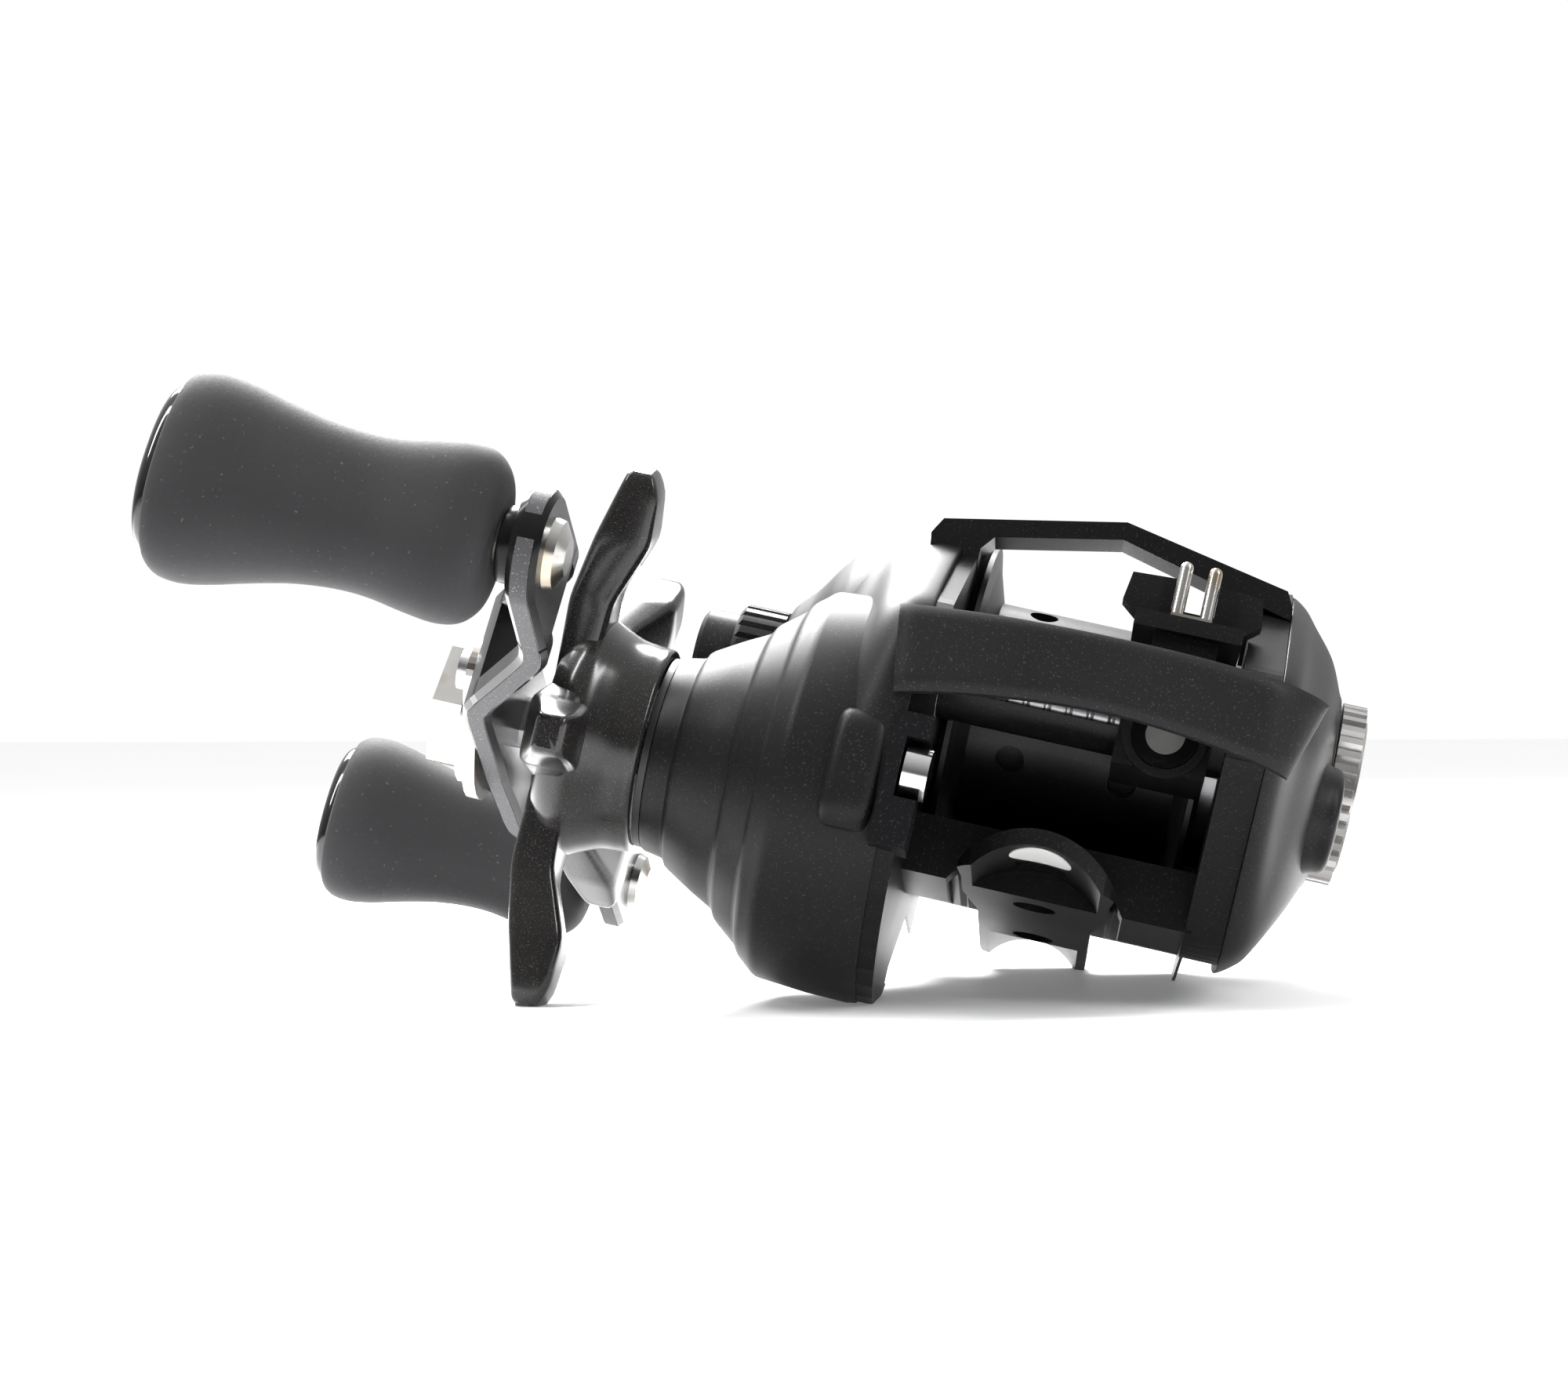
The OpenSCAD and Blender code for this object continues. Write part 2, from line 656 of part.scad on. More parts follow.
// Cranked flat arm: its middle stands out, and its ends drop towards the reel
module handle_arm() {
    s0 = 17;
    s1 = 33;
    half = [[handle_mid, 0], [handle_mid, s0], [handle_low, s1], [handle_low, crank_r + 6],
        [handle_low + handle_t, crank_r + 6], [handle_low + handle_t, s1 + 1],
        [handle_mid + handle_t, s0 + 1],
        [handle_mid + handle_t, 0]];
    back = [for (i = [len(half) - 1:-1:0]) [half[i][0], -half[i][1]]];
    color([0.1, 0.1, 0.105]) on_handle() difference() {
        union() {
            intersection() {
                translate([0, 0, -9]) linear_extrude(18) polygon(concat(half, back));
                plate(-60, -40) polygon(round_hull([[crank_r, 0, 5.2], [0, 0, 7], [-crank_r, 0, 5.2],
                    [0, 0, 7]], 10));
            }
            for (s = [-1, 1]) rod(3.3, handle_low - 1.5, handle_low + 0.2, [s * crank_r, 0]);
        }
        // bore with two flats that fits the shaft
        intersection() {
            rod(2.53, -60, -40, [0, 0]);
            block([-60, -2.03, -3], [-40, 2.03, 3]);
        }
        for (s = [-1, 1]) rod(post_r, -60, -40, [s * crank_r, 0]);
    }
}

module handle_nut() {
    color([0.85, 0.83, 0.8]) difference() {
        union() {
            plate(-59.4, -55.2) translate(S) rotate(handle_tilt) circle(r = 6.4, $fn = 6);
            rod(6.9, -56.4, -55.2, S);
        }
        rod(2.5, -58.2, -50, S);
    }
}

module nut_retainer() {
    color([0.85, 0.83, 0.8]) on_handle() plate(-55.2, handle_mid) difference() {
        polygon(round_hull([[0, 0, 8.2], [-11.5, 0, 3]], 12));
        circle(r = 2.53);
        translate([-11.5, 0]) circle(r = 0.9);
    }
}

module retainer_screw() {
    color([0.8, 0.8, 0.8]) on_handle() difference() {
        union() {
            rod(1.9, -56.3, -55.2, [-11.5, 0]);
            rod(0.9, -55.3, handle_mid, [-11.5, 0]);
        }
        block([-56.6, -12.7, -0.25], [-55.8, -10.3, 0.25]);
    }
}

module knob_posts() {
    color([0.8, 0.8, 0.82]) on_handle() for (s = [-1, 1]) {
        rod(post_r, -75.2, handle_low + handle_t, [s * crank_r, 0]);
        turned([[handle_low + handle_t, 0], [handle_low + handle_t, 3.1], [handle_low + handle_t + 0.8, 2.9],
            [handle_low + handle_t + 1.5, 1.6], [handle_low + handle_t + 1.5, 0]], [s * crank_r, 0]);
    }
}

// Half height of a knob against X, from its inner end to its outer end
knob_rings = [[-48.5, 4.4], [-49.6, 6.9], [-52, 7.9], [-60, 6.9], [-68.4, 8], [-74.2, 9.2],
    [knob_x1, 8.6]];
knob_flat = 0.74;

module knob_body(s) {
    difference() {
        union() for (i = [0:len(knob_rings) - 2]) hull() for (k = [i, i + 1])
            translate([knob_rings[k][0], s * crank_r, 0]) scale([1, knob_flat, 1]) rotate([0, 90, 0])
                cylinder(r = knob_rings[k][1], h = 0.02, $fn = 32);
        rod(2.3, -90, -40, [s * crank_r, 0]);
        rod(3.5, -52.6, -40, [s * crank_r, 0]);
        rod(3.5, -90, -72.6, [s * crank_r, 0]);
    }
}

module knob_cap(s) {
    hull() for (q = [[knob_x1 - 0.05, 8.1], [knob_end, 6.6]])
        translate([q[0], s * crank_r, 0]) scale([1, knob_flat, 1]) rotate([0, 90, 0])
            cylinder(r = q[1], h = 0.02, $fn = 32);
}

module knob_rings_pair(s) {
    tube(3.5, post_r + 0.05, -52.6, -50.2, [s * crank_r, 0]);
    tube(3.5, post_r + 0.05, -74.8, -72.6, [s * crank_r, 0]);
}

module front_knob() {
    color([0.2, 0.2, 0.205]) on_handle() knob_body(-1);
}

module front_knob_cap() {
    color([0.02, 0.02, 0.02]) on_handle() knob_cap(-1);
}

module front_knob_bearings() {
    color([0.7, 0.7, 0.72]) on_handle() knob_rings_pair(-1);
}

module rear_knob() {
    color([0.2, 0.2, 0.205]) on_handle() knob_body(1);
}

module rear_knob_cap() {
    color([0.02, 0.02, 0.02]) on_handle() knob_cap(1);
}

module rear_knob_bearings() {
    color([0.7, 0.7, 0.72]) on_handle() knob_rings_pair(1);
}

star_arms = 5;
star_phase = 180 + 11.5;

module star_drag() {
    side = [[-48.6, 6], [-48.6, 15], [-45.2, star_r], [-42.8, star_r], [-41.8, star_r - 2], [-41.8, 20.6],
        [-44.2, 14.4], [-44.6, 6]];
    wide = [[-4.6, 6], [-3.4, 14], [-3.4, 20], [-1.8, star_r + 1], [1.8, star_r + 1], [3.4, 20], [3.4, 14],
        [4.6, 6]];
    color([0.09, 0.08, 0.08]) difference() {
        union() {
            turned([[-38.5, 0], [-38.5, 9.8], [-44.6, 11.4], [-46.4, 11.4], [-48.4, 9.6], [-48.4, 0]], S);
            for (i = [0:star_arms - 1])
                translate([0, S[0], S[1]]) rotate([star_phase - 90 + i * 360 / star_arms, 0, 0])
                intersection() {
                    translate([0, 6, 0]) rotate([90, 0, 0]) linear_extrude(12) polygon(side);
                    plate(-50, -40) polygon(wide);
                }
        }
        rod(8.2, -42.5, -38, S);
        rod(5.4, -46, -42, S);
        rod(2.6, -50, -42, S);
    }
}

module star_nut() {
    color([0.7, 0.65, 0.5]) difference() {
        rod(5.4, -46, -42.6, S);
        rod(2.6, -47, -42, S);
    }
}

// ---- spool ---------------------------------------------------------------

module spool() {
    l0 = wall_in + 0.35;
    r0 = 13;
    color([0.06, 0.06, 0.065]) difference() {
        turned([[l0, spool_shaft_r], [l0, flange_r - 0.6], [l0 + 0.5, flange_r], [l0 + 1, flange_r],
            [l0 + 1.4, flange_r - 2], [l0 + 2.4, drum_r], [r0 - 2.4, drum_r], [r0 - 1.4, flange_r - 2],
            [r0 - 1, flange_r], [r0 - 0.5, flange_r], [r0, flange_r - 0.6], [r0, 9], [r0 - 3, 9],
            [r0 - 3, drum_r - 1.3],
            [1.8, drum_r - 1.3], [1.8, 3.4], [6, 3.4], [6, spool_shaft_r]], P);
        turned([[l0 + 1.4, 3.4], [l0 + 1.4, drum_r - 1.3], [-0.2, drum_r - 1.3], [-0.2, 3.4]], P);
        for (i = [0:11]) along_x(0, P) rotate([0, 0, i * 30]) for (x = [-5.5, 5.5])
            translate([0, 0, x]) rotate([0, 90, 0]) cylinder(r = 1.4, h = 30);
        for (i = [0:11]) rod(1.5, l0 - 1, l0 + 1.5, P + 7 * [cos(30 * i), sin(30 * i)]);
    }
}

module spool_shaft() {
    color([0.75, 0.75, 0.77]) rod(spool_shaft_r, -33.6, 22.8, P);
}

module spool_pin() {
    color([0.75, 0.75, 0.77]) difference() {
        translate([pin_x, P[0], P[1]]) rotate([mesh_angle, 0, 0]) translate([0, -2.9, 0]) rotate([-90, 0, 0])
            cylinder(r = 0.6, h = 5.8);
        rod(spool_shaft_r, pin_x - 2, pin_x + 2, P);
    }
}

module brake_rotor() {
    color([0.75, 0.76, 0.78]) difference() {
        tube(10.4, 9, 13, 18.6, P);
        for (i = [0:5]) along_x(15.8, P) rotate([0, 0, i * 60 + 15]) rotate([0, 90, 0])
            cylinder(r = 1, h = 20);
    }
}

pinion_phase = mesh_phase(mesh_angle, drive_teeth, drive_phase, pinion_teeth);

module pinion() {
    color([0.8, 0.68, 0.4]) difference() {
        union() {
            plate(gear_x0 - 1, wind_x0) translate(P) gear2(drive_module, pinion_teeth, pinion_phase);
            rod(3.5, wind_x0 - 0.1, pin_x + 0.8, P);
            rod(2.2, pinion_x0, gear_x0 - 0.9, P);
            rod(3.2, -24.2, -23.5, P);
            rod(3.2, -22.4, -22.1, P);
        }
        rod(spool_shaft_r + 0.12, -30, -10, P);
        // slot that takes the spool's cross pin
        translate([0, P[0], P[1]]) rotate([mesh_angle, 0, 0])
            block([pin_x - 0.7, -4, -0.7], [pin_x + 1, 4, 0.7]);
    }
}

module clutch_yoke() {
    q = post_c * post_dir;
    color([0.3, 0.3, 0.32]) difference() {
        plate(-23.4, yoke_x) difference() {
            translate(P) rotate(mesh_angle) union() {
                square([2.4, 2 * post_c], center = true);
                for (s = [-1, 1]) translate([0, s * post_c]) circle(r = 2.2);
                polygon(round_hull([[0, 0, 4.4], [3.4, 0, 4]], 12));
            }
            translate(P) circle(r = 2.35);
            translate(P) rotate(mesh_angle) translate([-8, -2.35]) square([8, 4.7]);
        }
        for (s = [-1, 1]) rod(0.9, -30, -10, P + s * q);
    }
}

yoke_x = -22.5;
cam_steps = 6;
cam_step_a = 1.85;
cam_start = 15;

// Cam ring with two stepped ramps and the forked arm that the thumb bar moves
module clutch_cam() {
    x0 = wall_out - 1.9;
    x1 = wall_out - 0.7;
    color([0.85, 0.84, 0.8]) difference() {
        union() {
            tube(6.9, 4.6, x0, x1, P);
            for (s = [-1, 1]) for (i = [0:cam_steps - 1])
                cam_step(mesh_angle + s * 90 + cam_start + cam_step_a * i,
                    yoke_x + 0.05 - clutch_travel * cam_step_a * i / cam_turn, x0 + 0.1);
            plate(x0, x1) translate(P) difference() {
                rotate(link_angle) polygon(round_hull([[7, 0, 2.4], [19.6, 0, 2.2]], 12));
                circle(r = 4.6);
            }
        }
        plate(x0 - 1, x1 + 1) translate(P) rotate(link_angle) translate([20.4, 0]) slot2(6.4, 2.6);
    }
}

// One step of a ramp: a short column that starts at angle a and reaches out to x
module cam_step(a, x, x_base) {
    plate(x, x_base) translate(P) intersection() {
        difference() {
            circle(r = 6.6);
            circle(r = 5.2);
        }
        polygon([[0, 0], [10 * cos(a), 10 * sin(a)], [10 * cos(a + cam_step_a), 10 * sin(a + cam_step_a)]]);
    }
}

module thumb_bar() {
    color([0.08, 0.08, 0.085]) {
        translate([wall_in + 0.35, 0, 0]) rotate([90, 0, 90]) linear_extrude(ring_in - wall_in - 0.7)
            polygon([[19.2, 26.6], [22, 26.2], [28.6, 23.4], [29, 25.4], [26.8, 27.6], [23.4, 29.2],
                [19.2, 29.4]]);
        rod(0.9, wall_out - 2.2, wall_in + 0.5, link);
    }
}

// ---- level wind ----------------------------------------------------------

module worm_shaft() {
    color([0.78, 0.78, 0.8]) difference() {
        union() {
            rod(2.2, wall_in + 0.4, ring_in - 0.4, W);
            rod(1.5, wind_x0, ring_in + 2.4, W);
        }
        // crossed grooves, drawn as rings cut round the shaft
        for (i = [0:10]) along_x(-8.5 + 2 * i, W) rotate_extrude() translate([2.2, 0]) circle(r = 0.35);
    }
}

module line_guide() {
    x0 = guide_x - guide_half;
    x1 = guide_x + guide_half;
    color([0.08, 0.08, 0.085]) difference() {
        union() {
            // carriage round the worm guard
            block([x0, -25, 12.2], [x1, -16, 21.4]);
            // stem and shelf
            block([guide_x - 3, -27, 21.3], [guide_x + 3, -19, 24.6]);
            block([guide_x - 5, -28.4, 24.5], [guide_x + 5, -19, 26]);
            // wing
            guide_wing();
            // ear on the guide rod
            block([guide_x - 2.6, -30, 18.9], [guide_x + 2.6, -24.9, 22]);
            // boss of the pawl
            translate([guide_x, -25, 15.4]) rotate([90, 0, 0]) cylinder(r = 3.9, h = 0.8);
        }
        rod(3.4, x0 - 1, x1 + 1, W);
        translate([guide_x, -22, 15.4]) rotate([90, 0, 0]) cylinder(r = 3.1, h = 5);
        rod(1.22, x0 - 3, x1 + 3, rod_c);
    }
}

// Wide, shallow wing that the line leaves through, open between the prongs
module guide_wing() {
    for (s = [0, 1]) translate([guide_x, -22, 0]) mirror([s, 0, 0]) rotate([90, 0, 0]) linear_extrude(2.4)
        polygon([[6.5, 27.6], [6.1, 30.3], [2, 30.5], [2, 25.9], [4.4, 25.9]]);
    block([guide_x - 4.4, -22.6, 25.9], [guide_x + 4.4, -22, 28]);
}

// Polished saddle with two prongs that the line runs between
module guide_insert() {
    color([0.85, 0.85, 0.87]) {
        for (s = [-1, 1]) {
            translate([guide_x + s * 1.35, -25.2, 26]) cylinder(r = 0.62, h = 5.4);
            translate([guide_x + s * 1.35, -25.2, 31.4]) sphere(r = 0.62);
        }
        block([guide_x - 1.9, -26, 26], [guide_x + 1.9, -24.5, 26.9]);
    }
}

module pawl_cap() {
    color([0.16, 0.16, 0.165]) translate([guide_x, 0, 15.4]) rotate([90, 0, 0]) difference() {
        union() {
            translate([0, 0, 24.6]) cylinder(r = 3.05, h = 1.6);
            translate([0, 0, 24]) cylinder(r = 1.4, h = 0.7);
        }
        translate([-0.5, -3.4, 25.6]) cube([1, 1, 1]);
    }
}

module cast_control_cap() {
    color([0.14, 0.14, 0.145]) difference() {
        turned([[-30.6, 0], [-30.6, 6], [-34.8, 6], [-35.3, 5.4], [-35.3, 4.8], [-38.4, 4.8], [-38.9, 4.2],
            [-38.9, 0]], P);
        rod(4.27, -34.3, -30, P);
        for (i = [0:23]) along_x(-36, P) rotate([0, 0, i * 15]) translate([6.1, 0, 0]) rotate([0, 0, 45])
            translate([-0.35, -0.35, 0]) cube([0.7, 0.7, 7]);
    }
}

module tension_shim() {
    color([0.8, 0.65, 0.35]) rod(3, -34.25, -33.65, P);
}

frame();
front_cover();
gear_side_cover();
palm_side_cover();
reel_foot();
foot_screws();
foot_label();
cover_screws();
lug_screw();
one_way_bearing();
boss_seal();
shaft_bearing();
pinion_bearing();
cap_bearing();
palm_bearing();
magnet_holder();
brake_magnets();
worm_guard();
worm_bushings();
guide_rod();
yoke_posts();
yoke_springs();
drive_shaft();
drive_gear();
drag_washer();
pressure_plate();
anti_reverse_ratchet();
clutch_sleeve();
drag_springs();
wind_drive_gear();
handle_arm();
handle_nut();
nut_retainer();
retainer_screw();
knob_posts();
star_drag();
star_nut();
front_knob();
front_knob_cap();
front_knob_bearings();
rear_knob();
rear_knob_cap();
rear_knob_bearings();
spool();
spool_shaft();
spool_pin();
brake_rotor();
pinion();
clutch_yoke();
clutch_cam();
thumb_bar();
worm_shaft();
worm_gear();
idler_gear();
line_guide();
guide_insert();
pawl_cap();
brake_dial();
cast_control_cap();
tension_shim();
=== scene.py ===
# %% [markdown]
# # A low-profile baitcasting reel
# The reel lies on a white table with its handle to the left. Its frame, gears and
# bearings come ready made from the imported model, in metres. This script gives every
# node its finish and lays finely shaped pieces over the parts that the eye lands on.

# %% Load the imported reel
import bpy, bmesh, json, math
import numpy as np
from mathutils import Matrix, Vector


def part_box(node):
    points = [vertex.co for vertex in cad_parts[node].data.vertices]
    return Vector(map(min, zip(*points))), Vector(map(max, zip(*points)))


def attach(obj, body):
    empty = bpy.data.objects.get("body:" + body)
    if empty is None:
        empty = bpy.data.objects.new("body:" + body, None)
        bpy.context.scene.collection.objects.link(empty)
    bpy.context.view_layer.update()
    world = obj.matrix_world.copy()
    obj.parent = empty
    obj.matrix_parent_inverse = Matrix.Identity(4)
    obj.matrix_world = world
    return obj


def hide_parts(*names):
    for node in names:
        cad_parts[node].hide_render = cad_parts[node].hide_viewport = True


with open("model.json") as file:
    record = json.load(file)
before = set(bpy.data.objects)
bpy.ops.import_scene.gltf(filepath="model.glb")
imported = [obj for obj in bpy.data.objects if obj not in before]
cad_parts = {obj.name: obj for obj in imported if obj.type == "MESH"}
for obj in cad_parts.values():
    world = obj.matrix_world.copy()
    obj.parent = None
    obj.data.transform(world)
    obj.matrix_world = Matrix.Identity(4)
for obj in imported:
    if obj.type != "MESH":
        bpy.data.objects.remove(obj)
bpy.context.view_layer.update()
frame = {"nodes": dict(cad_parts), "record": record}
MM = 0.001

# %% [markdown]
# ## Where the turning parts are
# Three axes run along X: the handle shaft, the spool and the level-wind worm. Their
# places are read from the joints, so a piece can't drift away from its bearing.

# %% Axes
joint_at = {j["name"]: np.array(j["pos_m"]) / MM for j in frame["record"]["behaviour"]["joints"]}
SHAFT = joint_at["handle_spin"][1:]
SPOOL = joint_at["spool_spin"][1:]
WORM = joint_at["worm_spin"][1:]
KNOB_FRONT = joint_at["front_knob_spin"][1:]
HANDLE_TILT = math.atan2(KNOB_FRONT[1] - SHAFT[1], SHAFT[0] - KNOB_FRONT[0])
print("shaft", SHAFT, "spool", SPOOL, "handle tilt", round(math.degrees(HANDLE_TILT), 2))

# %% [markdown]
# ## Camera
# The reel is seen from the front, from a little below its own level, and rolled to the
# right, because it rests on its star drag and on the edge of its side cover. The three
# camera directions are written out as a matrix, which leaves no doubt about the roll.

# %% Camera
RIGHT = Vector((0.9697, 0.0677, 0.2348)).normalized()
FORWARD = Vector((-0.1175, 0.9716, 0.2052)).normalized()
UP = RIGHT.cross(FORWARD).normalized()
FORWARD = UP.cross(RIGHT)
EYE = Vector((8.9, -316.3, -49.6)) * MM
LENS = 74.68668
camera_data = bpy.data.cameras.new("camera")
camera_data.sensor_width = 36.0
camera_data.lens = LENS
camera_data.clip_start = 0.01
camera = bpy.data.objects.new("camera", camera_data)
camera.matrix_world = Matrix((
    (RIGHT.x, UP.x, -FORWARD.x, EYE.x),
    (RIGHT.y, UP.y, -FORWARD.y, EYE.y),
    (RIGHT.z, UP.z, -FORWARD.z, EYE.z),
    (0, 0, 0, 1)))
bpy.context.scene.collection.objects.link(camera)
bpy.context.scene.camera = camera
print("lens", round(camera_data.lens, 2), "mm")

# %% [markdown]
# ## Table and light
# A white table and white surroundings give the soft studio look. The table is a plane
# through the three points that the reel rests on: a star arm, the lower edge of the gear
# side cover and the far end of the foot. It is see-through from below, so the reel can be
# looked at from every side.

# %% Table
def table_frame(a, b, c):
    """Centre and the three unit directions of the plane through a, b and c, its third one up."""
    across = (b - a).normalized()
    up = across.cross(c - a).normalized()
    if up.dot(UP) < 0:
        up = -up
    return (a + b + c) / 3, across, up.cross(across), up

STAR_REACH = 27.05
lowest = math.radians(263.5)
star_low = Vector((-44.4, SHAFT[0] + STAR_REACH * math.cos(lowest), SHAFT[1] + STAR_REACH * math.sin(lowest)))
cover_low = Vector((-14.0, -13.5, -13.35))
foot_far = Vector((5.4, 23.5, -0.05))
centre, across, along, table_up = table_frame(star_low, cover_low, foot_far)
print("table up", [round(v, 3) for v in table_up])

def table_sheet(name, half):
    """A flat square of table: centre + u * across + v * along, with u and v from -half to half."""
    corners = [centre + half * (u * across + v * along) for u, v in ((-1, -1), (1, -1), (1, 1), (-1, 1))]
    mesh = bpy.data.meshes.new(name)
    mesh.from_pydata([tuple(c * MM) for c in corners], [], [(0, 1, 2, 3)])
    sheet = bpy.data.objects.new(name, mesh)
    bpy.context.scene.collection.objects.link(sheet)
    return sheet

TABLE_HALF = 1500
table = table_sheet("table", TABLE_HALF)

# %% [markdown]
# ## A short way to write node materials
# A material is a small graph. `Wire` wraps one socket, so sums and products are written
# as ordinary Python and each becomes a Math node. `Finish.node` makes every other node:
# its settings first, then the values or wires that go into its sockets.

# %% Wires and finishes
class Wire:
    """One output socket that arithmetic can be written with."""

    def __init__(self, tree, socket):
        self.tree, self.socket = tree, socket

    def math(self, operation, *values):
        node = self.tree.nodes.new("ShaderNodeMath")
        node.operation = operation
        for slot, value in zip(node.inputs, values):
            plug(self.tree, slot, value)
        return Wire(self.tree, node.outputs[0])

    def __add__(self, other): return self.math("ADD", self, other)
    def __radd__(self, other): return self.math("ADD", other, self)
    def __sub__(self, other): return self.math("SUBTRACT", self, other)
    def __rsub__(self, other): return self.math("SUBTRACT", other, self)
    def __mul__(self, other): return self.math("MULTIPLY", self, other)
    def __rmul__(self, other): return self.math("MULTIPLY", other, self)
    def __gt__(self, other): return self.math("GREATER_THAN", self, other)
    def __lt__(self, other): return self.math("LESS_THAN", self, other)
    def clamp(self): return self.math("MINIMUM", self.math("MAXIMUM", self, 0.0), 1.0)


def plug(tree, slot, value):
    """Links a wire to a socket, or sets the socket to a number or a colour."""
    if isinstance(value, Wire):
        tree.links.new(value.socket, slot)
    elif isinstance(value, (tuple, list)) and len(value) == 3 and slot.type == "RGBA":
        slot.default_value = (*value, 1)
    else:
        slot.default_value = value


class Finish:
    """A material whose Principled shader gets numbers, colours and wires."""

    def __init__(self, name, **sockets):
        self.material = bpy.data.materials.new(name)
        self.material.use_nodes = True
        self.tree = self.material.node_tree
        self.shader = self.tree.nodes["Principled BSDF"]
        self.place = self.node("ShaderNodeTexCoord", out="Object")
        self.set(**sockets)

    def node(self, kind, settings=None, inputs=None, out=0):
        node = self.tree.nodes.new(kind)
        for key, value in (settings or {}).items():
            setattr(node, key, value)
        for key, value in (inputs or {}).items():
            plug(self.tree, node.inputs[key], value)
        return Wire(self.tree, node.outputs[out])

    def set(self, **sockets):
        for key, value in sockets.items():
            plug(self.tree, self.shader.inputs[key.replace("_", " ")], value)

    def noise(self, scale, detail=2.0, rough=0.5):
        return self.node("ShaderNodeTexNoise", {}, {"Vector": self.place, "Scale": scale, "Detail": detail,
                                                    "Roughness": rough}, "Fac")

    def mix(self, amount, a, b):
        return self.node("ShaderNodeMix", {"data_type": "RGBA"}, {0: amount, 6: a, 7: b}, 2)

    def bump(self, height, strength, distance):
        self.set(Normal=self.node("ShaderNodeBump", {}, {"Height": height, "Strength": strength,
                                                         "Distance": distance}, "Normal"))


def span(wire, low, high):
    """0 where the wire is at low and 1 where it is at high, straight in between."""
    return ((wire - low) * (1 / (high - low))).clamp()

# %% [markdown]
# ## The white room
# The surroundings are white, brighter overhead and dimmer behind the viewer, so satin
# black parts shade from light grey on top to nearly black in front, and gloss parts find
# something dark to reflect. The eye itself sees plain white behind the reel.

# %% Surroundings
world = bpy.data.worlds.new("white_room")
world.use_nodes = True
bpy.context.scene.world = world

def world_light(tree):
    """Brightness of a direction: base + lift * (up . d) + back * (ahead . d), kept above a floor."""
    direction = tree.nodes.new("ShaderNodeTexCoord").outputs["Generated"]
    def along_way(way):
        dot = tree.nodes.new("ShaderNodeVectorMath")
        dot.operation = "DOT_PRODUCT"
        tree.links.new(direction, dot.inputs[0])
        dot.inputs[1].default_value = way
        return Wire(tree, dot.outputs["Value"])
    light = 0.44 + 0.55 * along_way(table_up) + 0.36 * along_way(FORWARD)
    light = light.math("MAXIMUM", light, 0.06)
    seen = Wire(tree, tree.nodes.new("ShaderNodeLightPath").outputs["Is Camera Ray"])
    return light * (1 - seen) + seen * 1.02

background = world.node_tree.nodes["Background"]
background.inputs["Color"].default_value = (1, 1, 1, 1)
plug(world.node_tree, background.inputs["Strength"], world_light(world.node_tree))
bpy.context.scene.view_settings.view_transform = "Standard"
print("world ready")

# %% [markdown]
# ## Lamps
# Three soft lamps add what a plain white room can't: a broad one above and behind lights
# the tops of the covers, and two narrow ones leave long bright lines on the gloss parts.
# Area lamps are used because a point lamp would leave hard dots there.

# %% Lamps
def lamp(name, place, aim, size, power):
    """A rectangular lamp of the given width and height in millimetres that faces aim."""
    data = bpy.data.lights.new(name, "AREA")
    data.shape = "RECTANGLE"
    data.size, data.size_y = size[0] * MM, size[1] * MM
    data.energy = power
    thing = bpy.data.objects.new(name, data)
    thing.location = Vector(place) * MM
    thing.rotation_euler = (Vector(aim) - Vector(place)).to_track_quat("-Z", "Y").to_euler()
    bpy.context.scene.collection.objects.link(thing)
    return thing

lamp("overhead_lamp", (-190, 170, 330), (-10, 0, 10), (300, 240), 8.0)
lamp("left_tube", (-260, -160, 230), (-30, -10, 5), (30, 320), 1.4)
lamp("right_tube", (200, -200, 250), (0, -20, 10), (24, 260), 0.9)

# %% [markdown]
# ## Table top
# The table is matte white with a faint cloudiness. It gives off a little light of its
# own, which keeps it white where the reel shades it, and its back face is transparent.

# %% Table top
top = Finish("table_white", Base_Color=(0.92, 0.92, 0.93), Roughness=0.5, Specular_IOR_Level=0.25,
             Emission_Color=(1, 1, 1), Emission_Strength=0.16)
cloud = top.noise(9.0, 1.0)
top.set(Base_Color=top.mix(cloud, (0.9, 0.9, 0.91), (0.94, 0.94, 0.945)))
clear = top.tree.nodes.new("ShaderNodeBsdfTransparent")
facing = top.node("ShaderNodeNewGeometry", out="Backfacing")
see_through = top.tree.nodes.new("ShaderNodeMixShader")
plug(top.tree, see_through.inputs[0], facing)
top.tree.links.new(top.shader.outputs[0], see_through.inputs[1])
top.tree.links.new(clear.outputs[0], see_through.inputs[2])
top.tree.links.new(see_through.outputs[0], top.tree.nodes["Material Output"].inputs["Surface"])
table.data.materials.append(top.material)

# %% [markdown]
# ## Finishes
# Most of the reel is black, but no two blacks are alike: sprayed satin covers with a fine
# grain, gloss enamel on the handle, dark metallic lacquer with specks on the star,
# charcoal rubber on the knobs, and greasy black where the worm runs.

